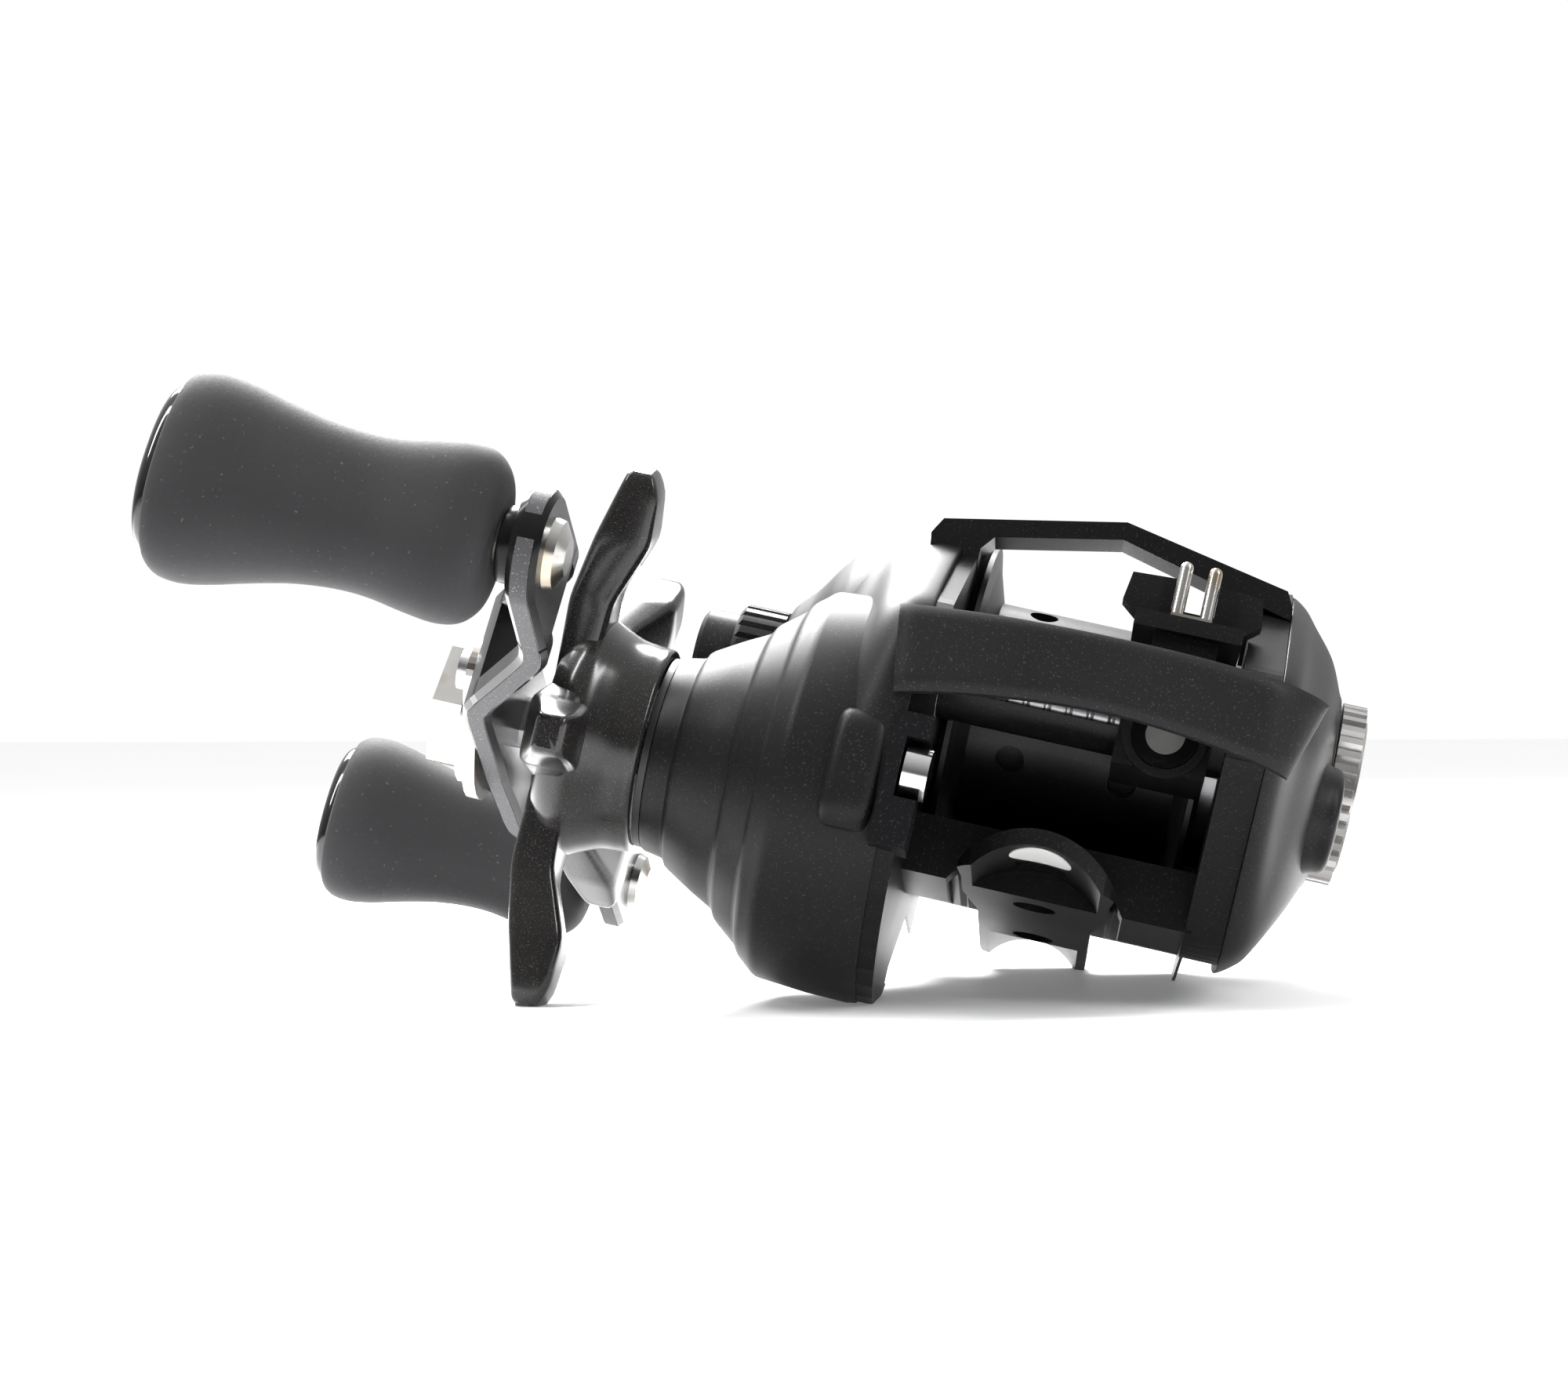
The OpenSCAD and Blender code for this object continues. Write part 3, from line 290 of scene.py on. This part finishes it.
# %% Satin and gloss blacks
def satin_black(name, tone, rough=0.42, grain=0.5, shine=0.13):
    """Sprayed satin paint: a fine grain of about 0.12 mm in the bump and slow drifts in the gloss."""
    paint = Finish(name, Specular_IOR_Level=shine)
    drift = paint.noise(70.0, 3.0)
    fine = paint.noise(8200.0, 2.0)
    speck = span(paint.noise(5200.0, 0.0), 0.70, 0.76)
    dark, light = tuple(0.55 * c for c in tone), tuple(0.9 * c + 0.001 for c in tone)
    base = paint.mix(drift, dark, light)
    paint.set(Base_Color=paint.mix(speck * 0.5, base, tuple(c * 3 + 0.01 for c in tone)),
              Roughness=drift * 0.1 + (rough - 0.05) + fine * 0.06)
    paint.bump(fine, grain, 0.00001)
    return paint.material


def gloss_black(name, tone, rough=0.12, specks=0.0, coat=0.3, shine=0.45):
    """Deep gloss lacquer, with metal specks of about 0.15 mm where specks is above 0."""
    paint = Finish(name, Specular_IOR_Level=shine, Coat_Weight=coat, Coat_Roughness=0.06)
    wave = paint.noise(260.0, 2.0)
    flake = span(paint.noise(7000.0, 1.0), 0.62, 0.74)
    base = paint.mix(wave, tuple(0.75 * c for c in tone), tuple(1.3 * c for c in tone))
    paint.set(Base_Color=paint.mix(flake * specks, base, (0.22, 0.2, 0.18)), Roughness=wave * 0.06 + rough)
    paint.bump(wave, 0.12, 0.0001)
    return paint.material


def charcoal_rubber(name):
    """Soft rubber: a matte skin with pale specks of dust and moulding grain."""
    skin = Finish(name, Specular_IOR_Level=0.14, Sheen_Weight=0.06, Sheen_Roughness=0.5)
    patch = skin.noise(120.0, 3.0)
    fine = skin.noise(3600.0, 3.0)
    dust = span(skin.noise(2600.0, 2.0, 0.6), 0.68, 0.76)
    base = skin.mix(patch, (0.017, 0.017, 0.018), (0.025, 0.025, 0.0262))
    skin.set(Base_Color=skin.mix(dust * 0.35, base, (0.15, 0.15, 0.155)), Roughness=fine * 0.2 + 0.58)
    skin.bump(fine, 0.35, 0.00003)
    return skin.material


def bare_metal(name, tone, rough=0.25, warm_reflection=None):
    """Bare or plated metal: a fine skin, faint cloudiness, and warm patches of painted reflection if a tint
    for them is given.
    """
    metal = Finish(name, Metallic=1.0)
    cloud = metal.noise(300.0, 3.0)
    fine = metal.noise(5200.0, 2.0)
    base = metal.mix(cloud, tuple(0.82 * c for c in tone), tone)
    # Warm patches of painted reflection: a slow noise mixes the warm tint into the colour.
    if warm_reflection:
        base = metal.mix(span(metal.noise(170.0, 2.0), 0.48, 0.62), base, warm_reflection)
    metal.set(Base_Color=base, Roughness=cloud * 0.12 + (rough - 0.04))
    metal.bump(fine, 0.1, 0.000008)
    return metal.material


def capped_steel(name, cap, radius):
    """Dark steel with a polished disc of that radius, in mm, in the middle of the cap's face."""
    metal = Finish(name, Metallic=1.0)
    low, high = (np.asarray(corner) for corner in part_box(cap))
    middle = tuple(float(v) for v in (low + high) / 2)
    kind = "ShaderNodeVectorMath"
    offset = metal.node(kind, {"operation": "SUBTRACT"}, {0: metal.place, 1: middle}, "Vector")
    flat = metal.node(kind, {"operation": "MULTIPLY"}, {0: offset, 1: (1, 0, 1)}, "Vector")
    away = metal.node(kind, {"operation": "LENGTH"}, {0: flat}, "Value")
    disc = radius * MM > away
    cloud = metal.noise(300.0, 2.0)
    rim = metal.mix(cloud, (0.02, 0.02, 0.02), (0.03, 0.03, 0.03))
    metal.set(Base_Color=metal.mix(disc, rim, (0.75, 0.74, 0.7)),
              Roughness=cloud * 0.1 + 0.25)
    return metal.material


def moulded(name, tone, rough=0.5):
    """Moulded plastic with a faint ripple and a fine skin."""
    body = Finish(name, Specular_IOR_Level=0.4)
    ripple = body.noise(240.0, 2.0)
    fine = body.noise(4300.0, 2.0)
    body.set(Base_Color=body.mix(ripple, tuple(0.85 * c for c in tone), tone),
             Roughness=fine * 0.16 + (rough - 0.08))
    body.bump(fine, 0.2, 0.00001)
    return body.material


finish = {
    "cover_black": satin_black("cover_black", (0.0085, 0.0085, 0.009), 0.4),
    "frame_black": satin_black("frame_black", (0.007, 0.007, 0.0078), 0.36, 0.3, shine=0.09),
    "band_black": satin_black("band_black", (0.0105, 0.0105, 0.0112), 0.45, 0.7),
    "foot_black": satin_black("foot_black", (0.007, 0.007, 0.0074), 0.36, 0.4, shine=0.09),
    "guide_black": satin_black("guide_black", (0.008, 0.008, 0.0085), 0.36, 0.3),
    "thumb_black": satin_black("thumb_black", (0.008, 0.008, 0.0085), 0.42, 0.4),
    "cap_black": satin_black("cap_black", (0.02, 0.02, 0.021), 0.34, 0.3),
    "spool_black": satin_black("spool_black", (0.005, 0.005, 0.0055), 0.36, 0.1, shine=0.3),
    "seal_black": moulded("seal_black", (0.004, 0.004, 0.004), 0.4),
    "handle_black": gloss_black("handle_black", (0.005, 0.005, 0.0054), 0.2, coat=0.0, shine=0.16),
    "handle_edge": satin_black("handle_edge", (0.07, 0.07, 0.073), 0.5, 0.2),
    "star_black": gloss_black("star_black", (0.0095, 0.009, 0.0086), 0.17, 0.22, coat=0.0, shine=0.4),
    "knob_rubber": charcoal_rubber("knob_rubber"),
    "knob_gloss": gloss_black("knob_gloss", (0.004, 0.004, 0.004), 0.08),
    "guide_dark": gloss_black("guide_dark", (0.004, 0.004, 0.0042), 0.3, 0.1, coat=0.0, shine=0.12),
    "carbon": moulded("carbon", (0.02, 0.02, 0.02), 0.45),
    "holder_grey": moulded("holder_grey", (0.12, 0.12, 0.125), 0.5),
    "wind_plastic": moulded("wind_plastic", (0.6, 0.57, 0.48), 0.45),
    "label_white": moulded("label_white", (0.82, 0.82, 0.8), 0.45),
    "steel": bare_metal("steel", (0.5, 0.5, 0.51), 0.28),
    "dark_steel": bare_metal("dark_steel", (0.06, 0.06, 0.062), 0.34),
    # bright_steel carries warm patches of painted reflection in its colour.
    "bright_steel": bare_metal("bright_steel", (0.52, 0.51, 0.49), 0.2, warm_reflection=(0.4, 0.35, 0.27)),
    "lug_steel": bare_metal("lug_steel", (0.7, 0.7, 0.71), 0.12),
    "bearing_steel": bare_metal("bearing_steel", (0.6, 0.6, 0.62), 0.2),
    "brass": bare_metal("brass", (0.72, 0.5, 0.2), 0.26),
    "magnet": bare_metal("magnet", (0.62, 0.62, 0.64), 0.2),
    "dial_metal": bare_metal("dial_metal", (0.42, 0.41, 0.4), 0.26),
}
node_slot = {part["node"]: part["material_slot"] for part in frame["record"]["subparts"]}
for name, thing in frame["nodes"].items():
    thing.data.materials.clear()
    thing.data.materials.append(finish[node_slot[name]])
frame["nodes"]["lug_screw"].data.materials[0] = finish["lug_steel"]
frame["nodes"]["pawl_cap"].data.materials[0] = capped_steel("pawl_steel", "pawl_cap", 1.8)
print(len(finish), "finishes on", len(frame["nodes"]), "nodes")
# %% [markdown]
# ## How the fine pieces are made
# Each piece is a skin over rings of points. `curve` rounds a short list of stations into
# a smooth profile, `skin` joins neighbouring rings with quads and closes both ends, and
# `piece` turns skins into one object that rides a body and stands in for CAD nodes.

# %% Curves, skins and pieces
def curve(stations, count):
    """A Catmull-Rom curve through the stations, sampled evenly from the first to the last."""
    p = np.asarray(stations, float)
    p = np.vstack([2 * p[0] - p[1], p, 2 * p[-1] - p[-2]])
    t = np.linspace(0, len(p) - 3, count)
    k = np.minimum(t.astype(int), len(p) - 4)
    t = (t - k)[:, None]
    a, b, c, d = p[k], p[k + 1], p[k + 2], p[k + 3]
    bend, twist = 2 * a - 5 * b + 4 * c - d, 3 * b - a - 3 * c + d
    return 0.5 * (2 * b + (c - a) * t + bend * t ** 2 + twist * t ** 3)


def skin(rows):
    """Points and faces of a closed skin over rings: quads between rings and a fan on each end."""
    n, m = rows.shape[:2]
    ring = np.arange(n - 1)[:, None] * m
    j = np.arange(m)[None, :]
    k = (j + 1) % m
    quads = np.stack(np.broadcast_arrays(ring + j, ring + k, ring + m + k, ring + m + j), -1).reshape(-1, 4)
    points = np.vstack([rows.reshape(-1, 3), rows[0].mean(0), rows[-1].mean(0)])
    j, k = j[0], k[0]
    first = np.stack([k, j, np.full(m, n * m)], -1)
    last = np.stack([j + (n - 1) * m, k + (n - 1) * m, np.full(m, n * m + 1)], -1)
    return points, quads.tolist() + first.tolist() + last.tolist()


def piece(name, skins, body, nodes, slot, sharp=34):
    """One smooth-shaded object from several skins; edges sharper than the angle stay crisp."""
    points, faces, start = [], [], 0
    for rows in skins:
        p, f = skin(rows)
        points.append(p)
        faces += [[i + start for i in face] for face in f]
        start += len(p)
    mesh = bpy.data.meshes.new(name)
    mesh.from_pydata((np.vstack(points) * MM).tolist(), [], faces)
    shell = bmesh.new()
    shell.from_mesh(mesh)
    bmesh.ops.remove_doubles(shell, verts=shell.verts, dist=1e-7)
    bmesh.ops.recalc_face_normals(shell, faces=shell.faces)
    shell.to_mesh(mesh)
    shell.free()
    mesh.shade_smooth()
    mesh.set_sharp_from_angle(angle=math.radians(sharp))
    mesh.materials.append(finish[slot])
    thing = bpy.data.objects.new(name, mesh)
    bpy.context.scene.collection.objects.link(thing)
    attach(thing, body)
    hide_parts(*nodes)
    print(name, len(mesh.vertices), "points")
    return thing


def turned(profile, centre, count=96):
    """A turned skin about a line along X: (x, r) goes to (x, r cos a, r sin a) round the centre."""
    profile = np.asarray(profile, float)
    a = np.linspace(0, 2 * np.pi, count, endpoint=False)
    x, r = profile[:, :1], profile[:, 1:]
    return np.stack([x + 0 * a, centre[0] + r * np.cos(a), centre[1] + r * np.sin(a)], -1)


def softened(profile, radius):
    """Rounds a profile: each corner becomes three points, a short way off it along both sides."""
    p = np.asarray(profile, float)
    before, here, after = p[:-2], p[1:-1], p[2:]
    back, ahead = before - here, after - here
    lb, la = np.linalg.norm(back, axis=1)[:, None], np.linalg.norm(ahead, axis=1)[:, None]
    a = here + back / lb * np.minimum(radius, 0.4 * lb)
    c = here + ahead / la * np.minimum(radius, 0.4 * la)
    corner = np.stack([a, 0.25 * a + 0.5 * here + 0.25 * c, c], 1).reshape(-1, p.shape[1])
    return np.vstack([p[:1], corner, p[-1:]])


def squarish(count, power):
    """Unit ring between a circle (power 2) and a square: the cosine and sine raised to 2 / power."""
    a = np.linspace(0, 2 * np.pi, count, endpoint=False)
    c, s = np.cos(a), np.sin(a)
    return np.sign(c) * np.abs(c) ** (2 / power), np.sign(s) * np.abs(s) ** (2 / power)


def on_handle(x, along, up):
    """Handle coordinates to the frame: `along` runs from the front knob to the rear one."""
    c, s = math.cos(HANDLE_TILT), math.sin(HANDLE_TILT)
    return np.stack(np.broadcast_arrays(x, SHAFT[0] + along * c + up * s, SHAFT[1] - along * s + up * c), -1)

print("helpers ready")

# %% [markdown]
# ## Knobs
# A soft rubber knob is a bottle with an oval section: its half height follows a curve
# along X, thick at both ends and slim in the middle, and its half depth is 0.74 of that.
# A gloss black button closes the outer end.

# %% Knobs and their buttons
profile = [(-48.6, 3.0), (-48.62, 4.6), (-49.1, 6.2), (-50.4, 7.45), (-52.4, 7.85), (-55, 7.55),
           (-58.5, 6.95), (-61.5, 6.85), (-65, 7.2), (-68.5, 7.95), (-71.8, 8.8), (-74.2, 9.2),
           (-76, 9.05), (-77, 8.5), (-77.3, 7.9)]
button = [(-77.1, 7.7), (-77.9, 7.45), (-78.4, 6.7), (-78.6, 5.2), (-78.65, 2.6)]
oval = squarish(88, 2.25)

def knob_rows(stations, count, side):
    """Rings along X: (x, 0.74 h c, h s) round the knob's axis, with c and s from the oval."""
    p = curve(stations, count)
    x, h = p[:, :1], p[:, 1:]
    return on_handle(x, side * 45 + 0.74 * h * oval[0], h * oval[1])

for side, name in ((-1, "front"), (1, "rear")):
    body = f"knob_{name}"
    piece(f"{name}_knob_skin", [knob_rows(profile, 90, side)], body, [f"{name}_knob"], "knob_rubber", 60)
    piece(f"{name}_knob_button", [knob_rows(button, 16, side)], body, [f"{name}_knob_cap"], "knob_gloss", 50)

# %% [markdown]
# ## Handle arm
# The arm is a flat bar, cranked twice towards the reel, with bevelled edges and round
# ends, and each half is pierced by a long slot. Its middle line runs in X against the
# distance from the shaft, and an eight-sided section, 2.6 mm thick, is carried square to
# it. Two rails pass the slot, and wider stretches join them. The slots belong to this shape
# alone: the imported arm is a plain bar, so they are a guess and not a measured feature.

# %% Handle arm
half_line = [(0, -52.7), (8, -52.7), (15.6, -52.68), (18.2, -52.1), (24.5, -49.2), (31, -46.2),
             (33.6, -45.5), (36.5, -45.4), (41, -45.4), (45, -45.4), (47.6, -45.4), (49.2, -45.4),
             (49.95, -45.4), (50.2, -45.4)]
half_path = curve(half_line, 120)
path = np.vstack([half_path[:0:-1] * (-1, 1), half_path])
slope = np.gradient(path[:, 1], path[:, 0] + 1e-9 * np.arange(len(path)))
length = np.hypot(1, slope)
reach = np.abs(path[:, 0])
wide = np.where(reach < 45, 6.4 - 1.2 * reach / 45, np.sqrt(np.maximum(5.2 ** 2 - (reach - 45) ** 2, 0.02)))

def bar(keep, low, high, bevel=0.5, thick=1.3):
    """Eight-sided rings along the stretch of path where keep is true, between two edges."""
    x, s, k, run = path[keep, 1:], path[keep, :1], slope[keep, None], length[keep, None]
    low, high = np.broadcast_to(low, reach.shape)[keep, None], np.broadcast_to(high, reach.shape)[keep, None]
    cut = np.minimum(bevel, 0.3 * (high - low))
    a = np.array([-thick, bevel - thick, thick - bevel, thick, thick, thick - bevel, bevel - thick, -thick])
    up = np.hstack([low + cut, low, low, low + cut, high - cut, high, high, high - cut])
    return on_handle(x + a / run, s - a * k / run, up)

before, after = path[:, 0] < 0, path[:, 0] > 0
arm = [bar(reach < 20.5, -wide, wide)]
for half in (before, after):
    arm.append(bar(half & (reach > 35.2), -wide, wide))
    middle_part = half & (reach > 19.6) & (reach < 36)
    arm += [bar(middle_part, -wide, -wide + 2.6), bar(middle_part, wide - 2.6, wide)]
KNOB_REACH = 45
post_head = softened([(-48.2, 0.4), (-48.2, 3.3), (-46.6, 3.3), (-46.6, 0.4)], 0.25)
posts = [on_handle(*np.moveaxis(turned(post_head, (side * KNOB_REACH, 0), 48), -1, 0)) for side in (-1, 1)]
piece("handle_arm_skin", arm + posts, "handle", ["handle_arm"], "handle_black", 25)

# %% [markdown]
# ## Grey edges of the arm
# The narrow faces along the arm look lighter than its flats. Two thin strips carry that
# grey, because a pattern on the arm itself would have to follow both of its bends.

# %% Grey edges of the arm
inner = slice(6, -6)
strips = []
for side in (-1, 1):
    corners = np.array([(-0.72, 0.2), (0.72, 0.2), (0.72, -0.06), (-0.72, -0.06)])
    a, b = corners[None, :, 0], side * (wide[inner, None] - corners[None, :, 1])
    strips.append(on_handle(path[inner, 1:] + a / length[inner, None],
                            path[inner, :1] - a * (slope / length)[inner, None], b))
edge = piece("handle_edge_skin", strips, "handle", [], "handle_black", 25)
edge.data.materials[0] = finish["handle_edge"]

# %% [markdown]
# ## Star drag
# Five blades stand on a flared hub. A blade is a squarish section that is carried
# outwards: its middle sweeps towards the reel, and it is thickest two thirds of the way
# out. The hub is turned, with hollow fillets where it opens out to the blades.

# %% Star drag
blade = softened([(5, -46.6, 2.0, 5.2), (10.5, -46.6, 2.0, 4.1), (14.2, -46.5, 2.15, 3.3),
                  (20.4, -44.5, 2.75, 3.2), (25, -43.85, 2.0, 2.3), (26.75, -43.95, 1.35, 1.75),
                  (27, -44.0, 0.95, 1.25)], 0.9)
facet = squarish(32, 6.5)

def blade_rows(angle):
    """Rings at radius r: (middle + half_x c, r, half_w s), turned about the shaft by the angle."""
    r, middle, half_x, half_w = (blade[:, k:k + 1] for k in range(4))
    out, side = r + 0 * facet[0], half_w * facet[1]
    return np.stack([middle + half_x * facet[0], SHAFT[0] + out * math.cos(angle) - side * math.sin(angle),
                     SHAFT[1] + out * math.sin(angle) + side * math.cos(angle)], -1)

hub_line = [(-38.5, 8.3), (-38.5, 9.75), (-39.6, 10.0), (-41.6, 10.25), (-43.4, 10.9), (-44.8, 11.5),
            (-46.2, 11.4), (-47.6, 10.3), (-48.3, 8.6), (-48.4, 4)]
hub = turned(curve(hub_line, 60), SHAFT, 120)
blades = [blade_rows(math.radians(191.5 + 72 * k)) for k in range(5)]
piece("star_drag_skin", [hub] + blades, "star", ["star_drag"], "star_black", 24)

# %% [markdown]
# ## Side covers
# A cover grows from a rounded outline. `outline` wraps a smooth band round circles: in
# the direction n its reach is the soft maximum of (centre . n + radius), and the point is
# reach * n + its rate of change * t. A cover's rings run through such outlines along X.

# %% Outlines and domes
def outline(circles, count=168, soft=1.1):
    """The smooth convex band round circles (y, z, radius), with `soft` per mm setting how tight it lies."""
    c = np.asarray(circles, float)
    a = np.linspace(0, 2 * np.pi, count, endpoint=False)
    n, t = np.stack([np.cos(a), np.sin(a)], -1), np.stack([-np.sin(a), np.cos(a)], -1)
    reach = n @ c[:, :2].T + c[:, 2]
    top = reach.max(1, keepdims=True)
    weight = np.exp(soft * (reach - top))
    total = weight.sum(1, keepdims=True)
    height = top + np.log(total) / soft
    rate = (weight / total * (t @ c[:, :2].T)).sum(1, keepdims=True)
    return height * n + rate * t


def dome(levels, count):
    """Rings along X through (x, outline) levels on a smooth curve."""
    flat = np.stack([np.append([x], ring.ravel()) for x, ring in levels])
    rows = curve(flat, count)
    ring = rows[:, 1:].reshape(count, -1, 2)
    return np.dstack([np.broadcast_to(rows[:, :1], ring.shape[:2]), ring])


def soft_box(low, high, power=7.0):
    """A box with rounded edges: a superellipsoid of that power between two corners."""
    low, high = np.asarray(low, float), np.asarray(high, float)
    c, s = squarish(48, power)
    v = np.linspace(-np.pi / 2, np.pi / 2, 25)[:, None]
    size, level = np.abs(np.cos(v)) ** (2 / power), np.sign(np.sin(v)) * np.abs(np.sin(v)) ** (2 / power)
    unit = np.stack(np.broadcast_arrays(size * c, size * s, level), -1)
    return (low + high) / 2 + unit * (high - low) / 2

def shrunk(circles, by):
    return [(y, z, r - by) for y, z, r in circles]

P, S = tuple(SPOOL), tuple(SHAFT)
front, rear = (-24.6, 17, 7.2), (19.6, 20.5, 9.8)
print("outlines ready")

# %% [markdown]
# ## Gear side cover
# The cover that hides the gears is a rounded lobe with a stepped round drum on the handle
# shaft and a neck on the spool's axis. They are closed shapes pushed into one another,
# which is simpler than one skin that would have to blend them.

# %% Gear side cover
big = [(*P, 18.0), front, (*S, 19.1), rear]
body_rows = dome([(-14.2, outline(shrunk(big, 0.5))), (-14.45, outline(big)),
                  (-16.8, outline(shrunk(big, 0.15))),
                  (-19.0, outline([(*P, 17.0), (-23.5, 16.5, 6.4), (*S, 18.4), (17, 20.5, 8.8)])),
                  (-21.2, outline([(*P, 15.6), (-20, 15.5, 5.2), (*S, 16.6), (14, 20.5, 7)])),
                  (-23.2, outline([(*P, 13.6), (-17, 14, 4), (*S, 14), (10, 20.5, 5.5)])),
                  (-24.6, outline([(*P, 11.0), (*S, 10)])), (-25.0, outline([(*P, 7.0), (*S, 5)]))], 60)
steps = [(-14.6, 17.5), (-14.6, 19.2), (-19.5, 19.1), (-24.3, 18.75), (-25.3, 17.9), (-26.2, 17.2),
         (-26.5, 16.5), (-29.2, 14.4), (-29.5, 13.6), (-32, 12.3), (-35.0, 10.55), (-35.2, 9.85),
         (-37.6, 9.4), (-37.6, 7.8)]
drum = turned(softened(steps, 0.45), S, 144)
neck_line = [(-19.5, 16.2), (-22.4, 15.3), (-24.5, 13.8), (-26.2, 11.8), (-28, 9.1), (-29.8, 7.2),
             (-30.3, 6.5), (-30.3, 4.2), (-33.9, 4.2), (-33.9, 3.0)]
neck = turned(softened(neck_line, 0.6), P, 96)
pads = [soft_box((-20.6, -33, -0.8), (-14.9, -17, 11.1), 5),
        soft_box((-24.4, -28.6, 1.6), (-14.9, -12, 12.4), 3.2)]
piece("gear_cover_skin", [body_rows, drum, neck] + pads, "reel", ["gear_side_cover"], "cover_black", 30)

# %% [markdown]
# ## Palm side cover
# This cover fits the palm. It narrows in curves from the frame's outline to a small flat
# face, and a raised pad lies across it. Both are domes over the same kind of outline.

# %% Palm side cover
low_front, low_rear = (-14, 3.4, 5.7), (4, 6.4, 5.7)
palm = [(*P, 18.1), (-24.6, 17, 7.0), low_front, low_rear, (19.6, 20.5, 9.5)]
middle = [(*P, 15.7), (-21.5, 16.5, 5.6), (-13, 6, 5.6), (4, 8.4, 5.6), (17, 20.5, 8)]
small = [(*P, 10.0), (-8, 14, 5.2)]
outer = [(*P, 13.0), (-17, 15.6, 5), (-11, 10, 5), (9, 20, 6.5)]
palm_rows = dome([(17.85, outline(shrunk(palm, 0.5))), (18.0, outline(palm)),
                  (19.4, outline(shrunk(palm, 0.9))), (20.7, outline(middle)), (22.9, outline(outer)),
                  (24.3, outline(small)), (24.75, outline(shrunk(small, 1.2))),
                  (24.8, outline(shrunk(small, 4.5)))], 64)
pad_shape = [(-14, 13.4, 4.3), (-8, 14.6, 4.3)]
pad_rows = dome([(22.6, outline(shrunk(pad_shape, -1.1))), (24.4, outline(shrunk(pad_shape, -0.3))),
                 (25.5, outline(pad_shape)), (25.85, outline(shrunk(pad_shape, 0.7))),
                 (25.9, outline(shrunk(pad_shape, 2.4)))], 30)
piece("palm_cover_skin", [palm_rows, pad_rows], "reel", ["palm_side_cover"], "cover_black", 30)

# %% [markdown]
# ## Inside of the spool
# The drum is ported. A dark sleeve of painted shade, not a part of the real spool, fills
# the hollow behind its holes, so they read as small dark pits and not as windows.

# %% Spool sleeve of painted shade
# The sleeve is painted shade: a dark stand-in for the shadow inside the drum.
HOLE_R, SHADE_SLEEVE_R = 3.5, 9.95
shade_sleeves = [turned(softened([(a, HOLE_R), (a, SHADE_SLEEVE_R), (b, SHADE_SLEEVE_R), (b, HOLE_R)], 0.3), P, 72)
           for a, b in ((-10.7, -0.4), (1.95, 9.7))]
piece("spool_shade_sleeve", shade_sleeves, "spool_assembly", [], "spool_black", 40)

# %% [markdown]
# ## Front band
# The band over the line guide bows forward on a radius of 92 mm and turns back at its
# right end. Its top and bottom edges are curves of their own, and its rim is rolled back
# a little, so it catches a thin line of light.

# %% Front band
u = np.linspace(0, 1, 110)[:, None]
v = np.concatenate([np.linspace(0, 1, 15), np.linspace(1, 0, 15)])[None, :]
behind = np.concatenate([np.zeros(15), np.ones(15)])[None, :]
x = (-15.9 - 1.2 * v) * (1 - u) + (19.9 + 2.4 * v) * u
low_edge, high_edge = curve([(-17, 12.3), (-8, 13.6), (2.5, 14.3), (12, 13.7), (22.4, 12.2)], 80), \
    curve([(-17.2, 20.6), (-8, 21.0), (2.5, 21.1), (12, 21.0), (22.4, 20.5)], 80)
z = np.interp(x, *low_edge.T) * (1 - v) + np.interp(x, *high_edge.T) * v
BAND_RADIUS, BAND_THICK, BAND_MIDDLE = 92, 1.55, (2.6, 56.4)
y = BAND_MIDDLE[1] - np.sqrt((BAND_RADIUS - BAND_THICK * behind) ** 2 - (x - BAND_MIDDLE[0]) ** 2)
y = y + 0.09 * np.maximum(x - 16.6, 0) ** 2
y = y + (0.55 * np.abs(2 * v - 1) ** 9 + 0.5 * np.abs(2 * u - 1) ** 40) * (1 - behind)
piece("front_band_skin", [np.stack([x, y, z], -1)], "reel", ["front_cover"], "band_black", 40)


# %% [markdown]
# ## Last update
# The view layer is brought up to date once all pieces are in place.

# %% Bring the scene up to date
bpy.context.view_layer.update()
